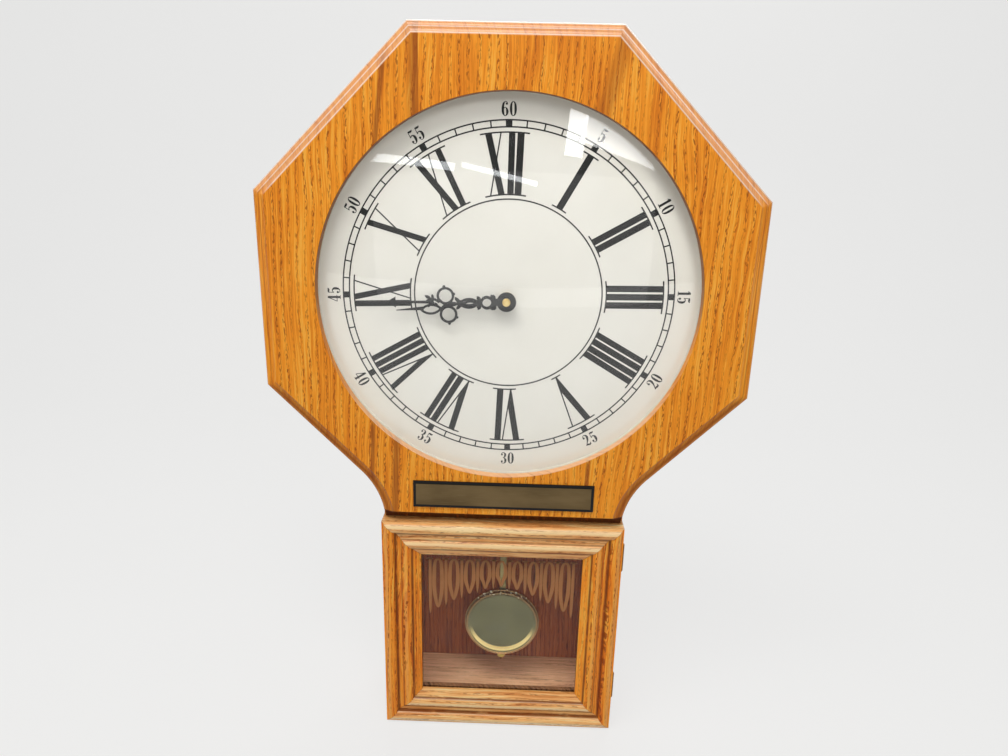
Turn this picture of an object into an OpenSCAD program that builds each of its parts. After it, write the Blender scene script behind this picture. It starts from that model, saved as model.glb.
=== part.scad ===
// Octagonal schoolhouse wall clock with a pendulum behind a glazed door.
// Units are millimetres. X runs to the right, Y runs into the wall, Z is up.
// Each piece is drawn about the centre of the dial on the front plane of the face board,
// and is then moved so that the origin is at the middle of the clock's base.

/* [Face board] */
// half the width of the flat front face across its flats
face_half = 216; // [206:1:226]
// thickness of the face board
board_th = 19; // [18:0.5:21]
// how much nearer the centre the four slanted sides lie than the other sides
slope_in = 3.2; // [0:0.1:6]
// width of the routed edge seen from the front
edge_w = 11.5; // [9.5:0.5:13]
// depth of the routed edge behind the front face
edge_d = 10; // [8.5:0.5:11.5]
// how far the flat front face stops short of the case's side at the foot of the neck
neck_inset = 12.7; // [10:0.1:14]
// radius of the coves between the lower slopes and the neck
cove_r = 90; // [84:1:105]
// width of the flat face between the dial's opening and the routed edge
face_w = 41.5; // [41:0.5:47]
// thickness of the lip that the dial glass rests against
lip_th = 9; // [8:0.5:9.5]

/* [Dial glass and dial] */
// thickness of the domed dial glass
dome_th = 2.2; // [1.8:0.1:2.5]
// rise of the dome from its flange to its crown
dome_rise = 22; // [19.5:0.5:26]
// width of the flat flange around the dome
flange_w = 6.5; // [5.5:0.5:7]
// thickness of the dial board
dial_th = 3.2; // [2.5:0.1:3.5]
// length of the thin plate on the neck
plate_l = 176.5; // [150:0.5:190]
// height of the thin plate on the neck
plate_h = 27.5; // [22:0.5:29]

/* [Case] */
// half the outside width of the case and of the door
case_half = 121; // [117:0.5:124]
// thickness of the case boards
case_th = 13; // [12:0.5:14]
// depth of the case behind the face board
case_depth = 85; // [80:1:100]
// how far the top of the case lies below the top of the dial
top_inset = 15.8; // [12:0.1:18]
// thickness of the back panel
panel_th = 4; // [3:0.5:4]
// half the width of the access opening in the back panel
access_half = 70; // [50:1:85]

/* [Door] */
// height of the door
door_h = 241.5; // [230:0.5:250]
// width of the moulded door members
member_w = 38.5; // [37.5:0.5:41]
// thickness of the door
door_th = 21.4; // [20.6:0.1:21.4]
// thickness of the door glass
pane_th = 3; // [2:0.5:3]

/* [Hands and movement] */
// how far the hands' axis lies to the left of the dial's centre
axis_left = 1.8; // [0:0.1:3]
// how far the hands' axis lies below the dial's centre
axis_drop = 4; // [0:0.1:6]
// how much shorter the minute hand is than the radius of the dial's opening
minute_inset = 36.5; // [33:0.1:44]
// length of the hour hand from its centre to its tip
hour_len = 101.5; // [96:0.1:106]
// thickness of the hands
hand_th = 0.6; // [0.4:0.1:0.8]
// radius of the minute arbor
arbor_r = 1.5; // [1.2:0.05:1.6]
// half the width of the movement
move_half = 29; // [28:0.5:32]
// depth of the movement
move_d = 20; // [19:0.5:20]
// radial gap of every running fit
run_gap = 0.05; // [0.03:0.01:0.08]

/* [Pendulum] */
// how far the pendulum hangs to the right of the dial's centre
hang_right = 1.4; // [0:0.1:3]
// radius of the bob
bob_r = 41.3; // [38:0.1:45]
// height of the bob's centre below the dial centre
bob_drop = 369; // [355:1:375]
// width of the pendulum strip
strip_w = 6.5; // [5:0.5:7]
// radius of the threaded rating rod
rate_r = 1.2; // [1:0.05:1.3]

/* [Hidden] */
$fn = 96;
tt = tan(22.5);
bead_r = edge_d - 4;
neck_foot = face_half - 1.5;
foot_out = neck_foot + edge_w;
foot_cut = neck_foot + 2.5;
foot_step = 12;
foot_ease = 2;
slope_half = face_half - slope_in;
neck_half = case_half - neck_inset;
cove_sum = (slope_half + cove_r) * sqrt(2);
cove_g = cove_sum - neck_foot;
cove_x = (neck_half + cove_g + sqrt(2 * cove_r * cove_r - pow(neck_half - cove_g, 2))) / 2;
cove_z = cove_sum - cove_x;
tan_x = cove_x - cove_r / sqrt(2);
tan_z = cove_z - cove_r / sqrt(2);
opening_r = face_half - face_w;
seat_r = opening_r + flange_w + 0.2;
dial_r = seat_r + 4.6;
dial_y = board_th - dial_th;
plate_z = -(opening_r + neck_foot) / 2;
case_top_z = dial_r - top_inset;
dome_chord = opening_r - 0.5;
dome_r = (dome_chord * dome_chord + dome_rise * dome_rise) / (2 * dome_rise);
dome_front = lip_th - dome_rise;
case_front = board_th;
case_back = board_th + case_depth;
panel_y = case_back - 2 - panel_th;
panel_half = case_half - case_th + 6;
door_gap = 1;
door_top = -(foot_out + door_gap);
door_bot = door_top - door_h;
case_bot = door_bot - 1;
door_back = case_front - 0.6;
door_y = door_back - door_th;
sight_half_w = case_half - member_w;
sight_top = door_top - member_w;
sight_bot = door_bot + member_w;
glass_y = door_y + 12;
rebate = 5;
leaf_th = 1;
pin_r = 1.1;
knuckle_r = 2.2;
hinge_x = case_half + 2.3;
hinge_y = door_back + 0.3;
hinge_h = 30;
hinge_zs = [door_top - 42, door_bot + 42];
screw_r = 1.3;
screw_zs = [-9, 9];
catch_z = (door_top + door_bot) / 2;
inner_half = case_half - case_th;
tube_bore = arbor_r + run_gap;
tube_r = tube_bore + 0.95;
bush_bore = tube_r + run_gap;
bush_r = bush_bore + 1.45;
move_top = 30;
move_bot = -72;
move_front = board_th;
move_back = move_front + move_d;
train_half = move_half - 19;
minute_len = opening_r - minute_inset;
sweep_r = minute_len + norm([axis_left, axis_drop]) + 1;
glass_in_y = dome_front + dome_r - sqrt(pow(dome_r - dome_th, 2) - sweep_r * sweep_r);
min_y = glass_in_y + 1 + hand_th;
bush_front = dial_y - 4.4;
hour_y = bush_front - 2.6 - hand_th;
pivot_z = -42;
pivot_r = 1.5;
rod_y = move_back + 5.5;
strip_th = 1.2;
lever_y = rod_y - 3;
rate_y = rod_y + strip_th / 2;
bob_back_y = rate_y - rate_r - 0.15;
bob_z = axis_drop - bob_drop;
pend_x = hang_right + axis_left;
rate_top = bob_z - bob_r + 14;
nut_top = bob_z - bob_r - 0.1;
hang_z = case_top_z - 20.5;
y_mid = (min(dome_front, door_y) + case_back) / 2;
dial_screw_angles = [20, 90, 160, 200, 270, 340];
panel_screw_low = case_bot + 26;
panel_screw_high = case_top_z - 40;
panel_screw_zs = [for (i = [0:3]) panel_screw_low + i * (panel_screw_high - panel_screw_low) / 3];

// moves a piece from the dial centre to the frame of the whole clock
module placed()
{
    translate([0, -y_mid, -case_bot])
        children();
}

// moves a piece of the movement, the hands or the pendulum from the hands' axis to its place
module on_axis()
{
    placed()
        translate([-axis_left, 0, -axis_drop])
            children();
}

// pushes a flat outline in the X-Z plane from depth y0 to depth y1
module plate(y0, y1)
{
    translate([0, y1, 0])
        rotate([90, 0, 0])
            linear_extrude(y1 - y0)
                children();
}

// round bar along Y
module ycyl(x, z, r, y0, y1)
{
    translate([x, y1, z])
        rotate([90, 0, 0])
            cylinder(r = r, h = y1 - y0);
}

// tapered round bar along Y
module ycone(x, z, r0, r1, y0, y1)
{
    translate([x, y0, z])
        rotate([-90, 0, 0])
            cylinder(r1 = r0, r2 = r1, h = y1 - y0);
}

// turns a section of radius and depth about the Y axis through x, z
module yturn(x, z)
{
    translate([x, 0, z])
        rotate([-90, 0, 0])
            rotate_extrude()
                children();
}

// box from one corner to the opposite one
module block(a, b)
{
    translate(a)
        cube(b - a);
}

// section of the board near its routed edge: x is the distance from the centre, y is the depth
module edge_section(reach, outer)
{
    cove_u = bead_r - 0.5;
    cove_v = 4.7;
    difference()
    {
        translate([outer - reach, 0])
            square([reach, board_th]);
        translate([outer - bead_r, -1])
            square([bead_r + 1, 5]);
        difference()
        {
            translate([outer - bead_r, 3])
                square([bead_r + 1, bead_r + 1]);
            translate([outer - bead_r, edge_d])
                circle(bead_r);
        }
        translate([outer - cove_u, -cove_v])
            circle(sqrt(pow(edge_w - cove_u, 2) + cove_v * cove_v));
    }
}

// the waste that the cutter takes off along a straight side, between two places on it
module side_waste(angle, outer, from, to)
{
    rotate([0, -angle, 0])
        translate([0, 0, from])
            linear_extrude(to - from)
                difference()
                {
                    translate([outer - edge_w - 2, -2])
                        square([edge_w + 12, board_th + 4]);
                    edge_section(edge_w + 20, outer);
                }
}

// the waste that the cutter takes out along one cove, a hair deeper than on the slope
module cove_waste(side)
{
    r = cove_r + 0.06;
    yturn(side * cove_x, -cove_z)
        difference()
        {
            translate([0, -1])
                square([r, board_th + 2]);
            translate([r - edge_w, 0])
                mirror([1, 0])
                    edge_section(edge_w + 20, 0);
        }
}

// the sawn blank: octagon and neck, a little larger than the routed board
module board_blank()
{
    big = face_half + edge_w + 3;
    out = tan_x + edge_w + 3;
    plate(0, board_th)
        polygon([[-big, -big * tt], [-out, -big * (1 + tt) + out], [-out, -foot_out],
            [out, -foot_out], [out, -big * (1 + tt) + out], [big, -big * tt],
            [big, big * tt], [big * tt, big], [-big * tt, big], [-big, big * tt]]);
}

// the step at the board's foot, which leaves a thin tongue behind, and its eased front edge
module foot_waste()
{
    wide = case_half + 20;
    block([-wide, -1, -foot_out - 5], [wide, foot_step, -foot_cut]);
    translate([-wide, 0, -foot_cut])
        rotate([90, 0, 90])
            linear_extrude(2 * wide)
                polygon([[-foot_ease, -foot_ease], [2 * foot_ease, -foot_ease], [-foot_ease, 2 * foot_ease]]);
}

// wood screw along Y: the head stands at y0 on the side that dir points away from
module pan_screw(x, z, y0, dir, len, shank_r, head_r, head_h)
{
    translate([x, y0, z])
        rotate([dir > 0 ? -90 : 90, 0, 0])
        {
            cylinder(r = shank_r, h = len);
            difference()
            {
                translate([0, 0, -head_h])
                    cylinder(r1 = head_r * 0.72, r2 = head_r, h = head_h);
                translate([-head_r, -0.35, -head_h - 1])
                    cube([2 * head_r, 0.7, 1.7]);
                translate([-0.35, -head_r, -head_h - 1])
                    cube([0.7, 2 * head_r, 1.7]);
            }
        }
}

module dial_screw_holes(r)
{
    for (a = dial_screw_angles)
        ycyl((dial_r + 2.5) * cos(a), (dial_r + 2.5) * sin(a), r, board_th - 9, board_th + 1);
}

module face_board()
{
    side_end = face_half * tt + 24;
    cove_end = (tan_z - tan_x) / sqrt(2) + 1.5;
    color([0.80, 0.50, 0.20])
    placed()
    difference()
    {
        board_blank();
        for (a = [0:90:180])
            side_waste(a, face_half + edge_w, -side_end, side_end);
        for (a = [45:90:135])
            side_waste(a, slope_half + edge_w, -side_end, side_end);
        side_waste(225, slope_half + edge_w, -side_end, cove_end);
        side_waste(315, slope_half + edge_w, -cove_end, side_end);
        foot_waste();
        cove_waste(-1);
        cove_waste(1);
        ycyl(0, 0, opening_r, -5, board_th + 5);
        ycyl(0, 0, seat_r, lip_th, board_th + 5);
        ycyl(0, 0, dial_r + 0.5, dial_y, board_th + 5);
        dial_screw_holes(1.6);
    }
}

module side_board()
{
    difference()
    {
        block([inner_half, case_front, case_bot], [case_half, case_back, case_top_z]);
        block([inner_half - 1, panel_y, case_bot - 1], [panel_half, case_back + 1, case_top_z + 1]);
        for (z = panel_screw_zs)
            ycyl(inner_half + 3, z, 1.5, panel_y - 12, panel_y + 1);
    }
}

module case_left_side()
{
    color([0.74, 0.45, 0.18])
    placed()
    difference()
    {
        mirror([1, 0, 0])
            side_board();
        for (z = [-9, 9])
            translate([-inner_half - 8, case_front + 8, catch_z + z])
                rotate([0, 90, 0])
                    cylinder(r = 1.2, h = 9);
    }
}

module case_right_side()
{
    color([0.74, 0.45, 0.18])
    placed()
    difference()
    {
        side_board();
        for (z = hinge_zs)
        {
            block([case_half - 10.5, case_front - 1, z - hinge_h / 2],
                [case_half + 1, hinge_y + leaf_th, z + hinge_h / 2]);
            for (s = screw_zs)
                ycyl(case_half - 5.2, z + s, screw_r, case_front, case_front + 10);
        }
    }
}

module case_top()
{
    color([0.74, 0.45, 0.18])
    placed()
    difference()
    {
        block([-inner_half, case_front, case_top_z - case_th], [inner_half, panel_y, case_top_z]);
        for (x = [-21, 21])
            ycyl(x, case_top_z - case_th / 2, 1.5, panel_y - 10, panel_y + 1);
    }
}

module case_bottom()
{
    color([0.55, 0.34, 0.22])
    placed()
        block([-inner_half, case_front, case_bot], [inner_half, panel_y, case_bot + case_th]);
}

module back_panel()
{
    color([0.36, 0.20, 0.14])
    placed()
    difference()
    {
        block([-panel_half + 0.2, panel_y, case_bot + 1],
            [panel_half - 0.2, panel_y + panel_th, case_top_z - 1]);
        block([-access_half, panel_y - 1, -95], [access_half, panel_y + panel_th + 1, 55]);
        ycyl(0, hang_z, 8, panel_y - 1, panel_y + panel_th + 1);
        block([-4, panel_y - 1, hang_z], [4, panel_y + panel_th + 1, hang_z + 8.5]);
        for (x = [-21, 21])
            ycyl(x, case_top_z - case_th / 2, 1.5, panel_y - 1, panel_y + panel_th + 1);
        for (s = [-1, 1])
            for (z = panel_screw_zs)
                ycyl(s * (inner_half + 3), z, 1.5, panel_y - 1, panel_y + panel_th + 1);
    }
}

module back_panel_screws()
{
    color([0.72, 0.70, 0.64])
    placed()
    for (s = [-1, 1])
        for (z = panel_screw_zs)
            pan_screw(s * (inner_half + 3), z, panel_y + panel_th, -1, panel_th + 11, 1.5, 2.9, 1.6);
}

module wall_hanger()
{
    color([0.75, 0.75, 0.76])
    placed()
    plate(panel_y + panel_th, panel_y + panel_th + 1.5)
    difference()
    {
        union()
        {
            translate([-21, hang_z - 9])
                square([42, 28]);
            for (x = [-21, 21])
                translate([x, case_top_z - case_th / 2])
                    circle(5);
            translate([0, hang_z - 9])
                circle(5);
        }
        translate([0, hang_z])
            circle(4.5);
        translate([-2.25, hang_z])
            square([4.5, 7]);
        translate([0, hang_z + 7])
            circle(2.25);
        for (x = [-21, 21])
            translate([x, case_top_z - case_th / 2])
                circle(1.6);
    }
}

module hanger_screws()
{
    color([0.75, 0.75, 0.76])
    placed()
    for (x = [-21, 21])
        difference()
        {
            translate([0, panel_y + panel_th + 1.5, 0])
                union()
                {
                    ycyl(x, case_top_z - case_th / 2, 1.5, -panel_th - 9.5, 0);
                    ycyl(x, case_top_z - case_th / 2, 2.9, 0, 0.5);
                }
            block([x - 3, panel_y + panel_th + 1.8, case_top_z - case_th / 2 - 0.4],
                [x + 3, panel_y + panel_th + 3, case_top_z - case_th / 2 + 0.4]);
        }
}

module dial_plate()
{
    color([0.88, 0.87, 0.83])
    placed()
    difference()
    {
        ycyl(0, 0, dial_r, dial_y, board_th);
        ycyl(-axis_left, -axis_drop, bush_r + 0.1, dial_y - 1, board_th + 1);
    }
}

module dial_plate_screws()
{
    color([0.80, 0.72, 0.45])
    placed()
    for (a = dial_screw_angles)
        pan_screw((dial_r + 2.5) * cos(a), (dial_r + 2.5) * sin(a), board_th, -1, 9, 1.6, 4.3, 1.6);
}

module dial_glass()
{
    color([0.85, 0.90, 0.90, 0.3])
    placed()
    yturn(0, 0)
    {
        intersection()
        {
            difference()
            {
                translate([0, dome_front + dome_r])
                    circle(dome_r);
                translate([0, dome_front + dome_r])
                    circle(dome_r - dome_th);
            }
            translate([0, dome_front - 1])
                square([dome_chord, dome_rise + dome_th + 1]);
        }
        translate([dome_chord - 1.5, lip_th])
            square([seat_r - 0.3 - dome_chord + 1.5, dome_th]);
    }
}

module glass_spacer_ring()
{
    color([0.90, 0.89, 0.85])
    placed()
    yturn(0, 0)
        translate([opening_r + 0.8, lip_th + dome_th])
            square([seat_r - 0.3 - opening_r - 0.8, dial_y - lip_th - dome_th]);
}

module plate_backing()
{
    color([0.03, 0.03, 0.03])
    placed()
        block([-plate_l / 2, -1.6, plate_z - plate_h / 2], [plate_l / 2, 0, plate_z + plate_h / 2]);
}

module bare_plate()
{
    color([0.42, 0.36, 0.22])
    placed()
        block([-plate_l / 2 + 2.8, -2.2, plate_z - plate_h / 2 + 2.8],
            [plate_l / 2 - 2.8, -1.6, plate_z + plate_h / 2 - 2.8]);
}

// outline of the movement with round corners
module move_outline(inset)
{
    r = 4 - min(inset, 2.5);
    w = move_half - inset - r;
    top = move_top - inset - r;
    bot = move_bot + inset + r;
    translate([-w, bot - r])
        square([2 * w, top - bot + 2 * r]);
    translate([-w - r, bot])
        square([2 * w + 2 * r, top - bot]);
    for (x = [-w, w])
        for (z = [bot, top])
            translate([x, z])
                circle(r);
}

module movement_case()
{
    color([0.06, 0.06, 0.06])
    on_axis()
    difference()
    {
        plate(move_front, move_back)
            move_outline(0);
        block([-move_half + 2, move_front + 2, move_bot + 2], [train_half, move_back - 2, move_top - 2]);
        plate(move_back - 2, move_back + 1)
            intersection()
            {
                move_outline(1.2);
                translate([-100, -100])
                    square([100 + move_half - 18.4, 200]);
            }
        block([move_half - 17.8, move_front + 3, -31.5], [move_half - 2, move_back + 1, 26.5]);
        ycyl(0, 0, bush_r, move_front - 1, move_front + 3);
    }
}

module movement_cover()
{
    color([0.10, 0.10, 0.11])
    on_axis()
    difference()
    {
        plate(move_back - 2, move_back)
            intersection()
            {
                move_outline(1.4);
                translate([-100, -100])
                    square([100 + move_half - 18.6, 200]);
            }
        ycyl(0, 0, arbor_r + run_gap, move_back - 3, move_back + 1);
        ycyl(pend_x, pivot_z, pivot_r, move_back - 3, move_back + 1);
    }
}

module movement_bush()
{
    color([0.78, 0.62, 0.30])
    on_axis()
    difference()
    {
        union()
        {
            ycyl(0, 0, bush_r, bush_front, move_front + 2);
            ycyl(0, 0, bush_r + 2.5, move_front + 2, move_front + 3.4);
        }
        ycyl(0, 0, bush_bore, dial_y - 7, move_front + 5);
    }
}

module movement_washer()
{
    color([0.78, 0.62, 0.30])
    on_axis()
    difference()
    {
        ycyl(0, 0, 7.6, dial_y - 0.8, dial_y);
        ycyl(0, 0, bush_r, dial_y - 2, dial_y + 1);
    }
}

module movement_hex_nut()
{
    color([0.78, 0.62, 0.30])
    on_axis()
    difference()
    {
        intersection()
        {
            plate(dial_y - 3.4, dial_y - 0.8)
                circle(6.9, $fn = 6);
            ycyl(0, 0, 6.6, dial_y - 4, dial_y);
        }
        ycyl(0, 0, bush_r, dial_y - 5, dial_y + 1);
    }
}

module battery()
{
    color([0.12, 0.14, 0.30])
    on_axis()
    translate([move_half - 9.9, move_back - 7.5, -26.5])
    {
        cylinder(r = 7.1, h = 48.6);
        translate([0, 0, 48.6])
            cylinder(r = 2.7, h = 1.4);
        translate([0, 0, -0.4])
            cylinder(r = 5.4, h = 0.4);
    }
}

module battery_contacts()
{
    color([0.80, 0.80, 0.78])
    on_axis()
    {
        block([move_half - 15, move_back - 13, 23.6], [move_half - 5, move_back - 2, 24.3]);
        block([move_half - 15, move_back - 13, -31.4], [move_half - 5, move_back - 2, -30.7]);
        translate([move_half - 9.9, move_back - 7.5, -30.7])
            difference()
            {
                cylinder(r1 = 4.6, r2 = 3, h = 3.8);
                translate([0, 0, -0.1])
                    cylinder(r1 = 3.9, r2 = 2.3, h = 4);
            }
    }
}

module pendulum_pivot_pin()
{
    color([0.80, 0.80, 0.78])
    on_axis()
    {
        ycyl(pend_x, pivot_z, pivot_r, move_back - 2, rod_y + 1);
        ycyl(pend_x, pivot_z, pivot_r + 1.3, move_back, lever_y - 0.4);
        ycyl(pend_x, pivot_z, pivot_r + 1.3, rod_y + 0.4, rod_y + 1.4);
    }
}

// one hinge leaf in the plane behind y0, with its knuckles at the given heights
module leaf(z, y0, spans, bore)
{
    difference()
    {
        union()
        {
            block([case_half - 10.3, y0, z - hinge_h / 2 + 0.2],
                [case_half - 0.2, y0 + leaf_th, z + hinge_h / 2 - 0.2]);
            for (s = spans)
            {
                block([case_half - 1, y0, z + s[0]], [hinge_x, y0 + leaf_th, z + s[1]]);
                translate([hinge_x, hinge_y, z + s[0]])
                    cylinder(r = knuckle_r, h = s[1] - s[0]);
            }
        }
        translate([hinge_x, hinge_y, z - hinge_h])
            cylinder(r = bore, h = 2 * hinge_h);
        for (s = screw_zs)
            ycyl(case_half - 5.2, z + s, screw_r, y0 - 1, y0 + leaf_th + 1);
    }
}

module case_hinge_leaves()
{
    color([0.72, 0.58, 0.28])
    placed()
    for (z = hinge_zs)
        difference()
        {
            leaf(z, hinge_y, [[-hinge_h / 2 + 0.2, -7.2], [7.2, hinge_h / 2 - 0.2]], pin_r);
            for (s = screw_zs)
                ycone(case_half - 5.2, z + s, 2.3, screw_r, hinge_y, hinge_y + leaf_th);
        }
}

module door_hinge_leaves()
{
    color([0.72, 0.58, 0.28])
    placed()
    for (z = hinge_zs)
        difference()
        {
            leaf(z, hinge_y - leaf_th, [[-7, 7]], pin_r + run_gap);
            for (s = screw_zs)
                ycone(case_half - 5.2, z + s, screw_r, 2.3, hinge_y - leaf_th, hinge_y);
        }
}

module hinge_pins()
{
    color([0.66, 0.52, 0.24])
    placed()
    for (z = hinge_zs)
        translate([hinge_x, hinge_y, z - hinge_h / 2])
        {
            cylinder(r = pin_r, h = hinge_h);
            translate([0, 0, hinge_h])
                cylinder(r = 1.8, h = 0.8);
            translate([0, 0, -0.8])
                cylinder(r = 1.8, h = 0.8);
        }
}

module case_hinge_screws()
{
    color([0.72, 0.58, 0.28])
    placed()
    for (z = hinge_zs)
        for (s = screw_zs)
        {
            ycone(case_half - 5.2, z + s, 2.3, screw_r, hinge_y, hinge_y + leaf_th);
            ycyl(case_half - 5.2, z + s, screw_r, hinge_y + leaf_th, case_front + 9.5);
        }
}

module door_hinge_screws()
{
    color([0.72, 0.58, 0.28])
    placed()
    for (z = hinge_zs)
        for (s = screw_zs)
        {
            ycone(case_half - 5.2, z + s, screw_r, 2.3, hinge_y - leaf_th, hinge_y);
            ycyl(case_half - 5.2, z + s, screw_r, door_back - 9, hinge_y - leaf_th);
        }
}

module catch_housing()
{
    color([0.42, 0.26, 0.14])
    placed()
    difference()
    {
        block([-inner_half, case_front + 0.5, catch_z - 16],
            [-inner_half + 12, case_front + 16, catch_z + 16]);
        block([-inner_half + 2.4, case_front - 1, catch_z - 12],
            [-inner_half + 9.6, case_front + 6.5, catch_z + 12]);
        for (z = [-9, 9])
            translate([-inner_half - 1, case_front + 8, catch_z + z])
                rotate([0, 90, 0])
                    cylinder(r = 1.3, h = 20);
    }
}

module catch_magnet()
{
    color([0.16, 0.16, 0.17])
    placed()
        block([-inner_half + 2.4, case_front + 0.5, catch_z - 12],
            [-inner_half + 9.6, case_front + 6.5, catch_z + 12]);
}

module catch_screws()
{
    color([0.75, 0.75, 0.76])
    placed()
    for (z = [-9, 9])
        translate([-inner_half - 7.5, case_front + 8, catch_z + z])
            rotate([0, 90, 0])
                union()
                {
                    cylinder(r = 1.2, h = 19.5);
                    translate([0, 0, 19.5])
                        cylinder(r1 = 2.6, r2 = 1.9, h = 1.4);
                }
}

// section of the moulded door members: x runs in from the outer edge, y runs back from the crown
module moulding()
{
    back = door_th;
    translate([0, 3.6])
        square([12.9, back - 3.6]);
    translate([7, 6])
        circle(6);
    translate([12.5, 5.4])
        square([member_w - 8.5 - 12.5, back - 5.4]);
    difference()
    {
        translate([13.2, 3.2])
            square([7.15, 4]);
        translate([13.2, -8])
            circle(13.4);
    }
    translate([24.75, 7.26])
        circle(5.76);
    polygon([[member_w - 9, 5], [member_w - 8, 5], [member_w, 9], [member_w, 12],
        [member_w - rebate, 12], [member_w - rebate, back], [member_w - 9, back]]);
}

// a door member laid along X with its outer edge at z0, mitred at both ends
module member(half, z0, dir)
{
    intersection()
    {
        translate([0, door_y, z0])
            rotate([0, dir > 0 ? -90 : 90, 0])
                linear_extrude(2 * half + 2, center = true)
                    moulding();
        plate(door_y - 1, door_back + 1)
            polygon([[-half, z0], [half, z0], [half - 60, z0 + dir * 60], [-half + 60, z0 + dir * 60]]);
    }
}

module door_top_rail()
{
    color([0.80, 0.50, 0.22])
    placed()
        member(case_half, door_top, -1);
}

module door_bottom_rail()
{
    color([0.80, 0.50, 0.22])
    placed()
        member(case_half, door_bot, 1);
}

module stile()
{
    mid = (door_top + door_bot) / 2;
    translate([0, 0, mid])
        rotate([0, 90, 0])
            member(door_h / 2, -case_half, 1);
}

module door_left_stile()
{
    color([0.78, 0.48, 0.20])
    placed()
    difference()
    {
        stile();
        ycyl(-inner_half + 6, catch_z, 1.2, door_back - 8, door_back + 1);
    }
}

module door_right_stile()
{
    color([0.78, 0.48, 0.20])
    placed()
    difference()
    {
        mirror([1, 0, 0])
            stile();
        for (z = hinge_zs)
        {
            block([case_half - 10.5, hinge_y - leaf_th, z - hinge_h / 2],
                [case_half + 1, door_back + 1, z + hinge_h / 2]);
            for (s = screw_zs)
                ycyl(case_half - 5.2, z + s, screw_r, door_back - 9.2, door_back);
        }
    }
}

module door_glass()
{
    color([0.80, 0.88, 0.88, 0.25])
    placed()
        block([-sight_half_w - 4.5, glass_y, sight_bot - 4.5],
            [sight_half_w + 4.5, glass_y + pane_th, sight_top + 4.5]);
}

module glass_retainers()
{
    color([0.70, 0.42, 0.18])
    placed()
    difference()
    {
        block([-sight_half_w - rebate, glass_y + pane_th, sight_bot - rebate],
            [sight_half_w + rebate, glass_y + pane_th + 5, sight_top + rebate]);
        block([-sight_half_w - 0.5, glass_y, sight_bot - 0.5],
            [sight_half_w + 0.5, door_back + 1, sight_top + 0.5]);
    }
}

module catch_strike()
{
    color([0.72, 0.72, 0.73])
    placed()
    difference()
    {
        block([-inner_half + 1, door_back, catch_z - 11],
            [-inner_half + 11, door_back + 0.9, catch_z + 11]);
        ycyl(-inner_half + 6, catch_z, 1.2, door_back - 1, door_back + 2);
        ycone(-inner_half + 6, catch_z, 1.2, 2.1, door_back, door_back + 0.9);
    }
}

module strike_screw()
{
    color([0.72, 0.72, 0.73])
    placed()
    {
        ycyl(-inner_half + 6, catch_z, 1.2, door_back - 7.5, door_back);
        ycone(-inner_half + 6, catch_z, 1.2, 2.1, door_back, door_back + 0.9);
    }
}

// ring of a hand
module hoop(x, y, ro, ri)
{
    translate([x, y])
        difference()
        {
            circle(ro, $fn = 64);
            circle(ri, $fn = 64);
        }
}

// curved strand of width w on a circle of radius r, from angle a0 to angle a1
module strand(x, y, r, w, a0, a1)
{
    far = 4 * r;
    mid = (a0 + a1) / 2;
    translate([x, y])
        intersection()
        {
            difference()
            {
                circle(r + w / 2);
                circle(r - w / 2);
            }
            polygon([[0, 0], [far * cos(a0), far * sin(a0)], [far * cos(mid), far * sin(mid)],
                [far * cos(a1), far * sin(a1)]]);
        }
}

// pointed leaf between two arcs, from its root at x, y in the direction a
module petal(x, y, a, len, wid)
{
    r = (len * len / 4 + wid * wid / 4) / wid;
    translate([x, y])
        rotate(a)
            intersection()
            {
                translate([len / 2, r - wid / 2])
                    circle(r);
                translate([len / 2, wid / 2 - r])
                    circle(r);
            }
}

// the part that both hands share: hub, collar, small ring and the crossing strands
module hand_root(hub)
{
    circle(hub);
    translate([hub - 1.5, -3.2])
        square([6.2, 6.4]);
    for (s = [-1, 1])
    {
        petal(hub + 1.2, s * 2.6, s * 62, 5, 2.6);
        petal(hub + 4, s * 2.6, s * 78, 4.6, 2.4);
        petal(23.2, s * 2.2, s * 40, 5, 2.4);
        strand(33.8, -s * 9.4, 12.2, 2.2, 90 * s - 43, 90 * s + 43);
    }
    translate([42.4, 0])
        circle(1.9);
    hoop(17.9, 0, 5.9, 4.1);
    translate([23.4, -1.5])
        square([3.2, 3]);
}

module minute_outline()
{
    stem = 72;
    barb = minute_len - 37;
    hand_root(8.9);
    // ring on the upper side with its two knobs
    hoop(55.4, -5.8, 8, 5.8);
    translate([56.6, -14.2])
        circle(1.3);
    translate([47.7, -7.5])
        circle(1.2);
    petal(47, -4.6, 132, 7.2, 3.2);
    // long bend that carries the ring on to the leaves
    strand(50.8, -9.2, 12.2, 2.2, 36, 131);
    strand(67.4, 4.4, 7.2, 2.2, 212, 318);
    translate([68.4, -1.6])
        circle(2.4);
    petal(68.2, -2.6, -30, 7, 3);
    petal(68.6, 0.2, 58, 5.4, 2.6);
    petal(66.6, -2.4, -78, 5, 2.4);
    // thin stem, barb and spear
    polygon([[stem - 5, -1.4], [barb + 1, -0.9], [barb + 1, 0.9], [stem - 5, 1.4]]);
    polygon([[barb, -5], [barb + 6.5, -1.2], [minute_len, -0.35], [minute_len, 0.35],
        [barb + 6.5, 1.2], [barb, 5]]);
}

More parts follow.
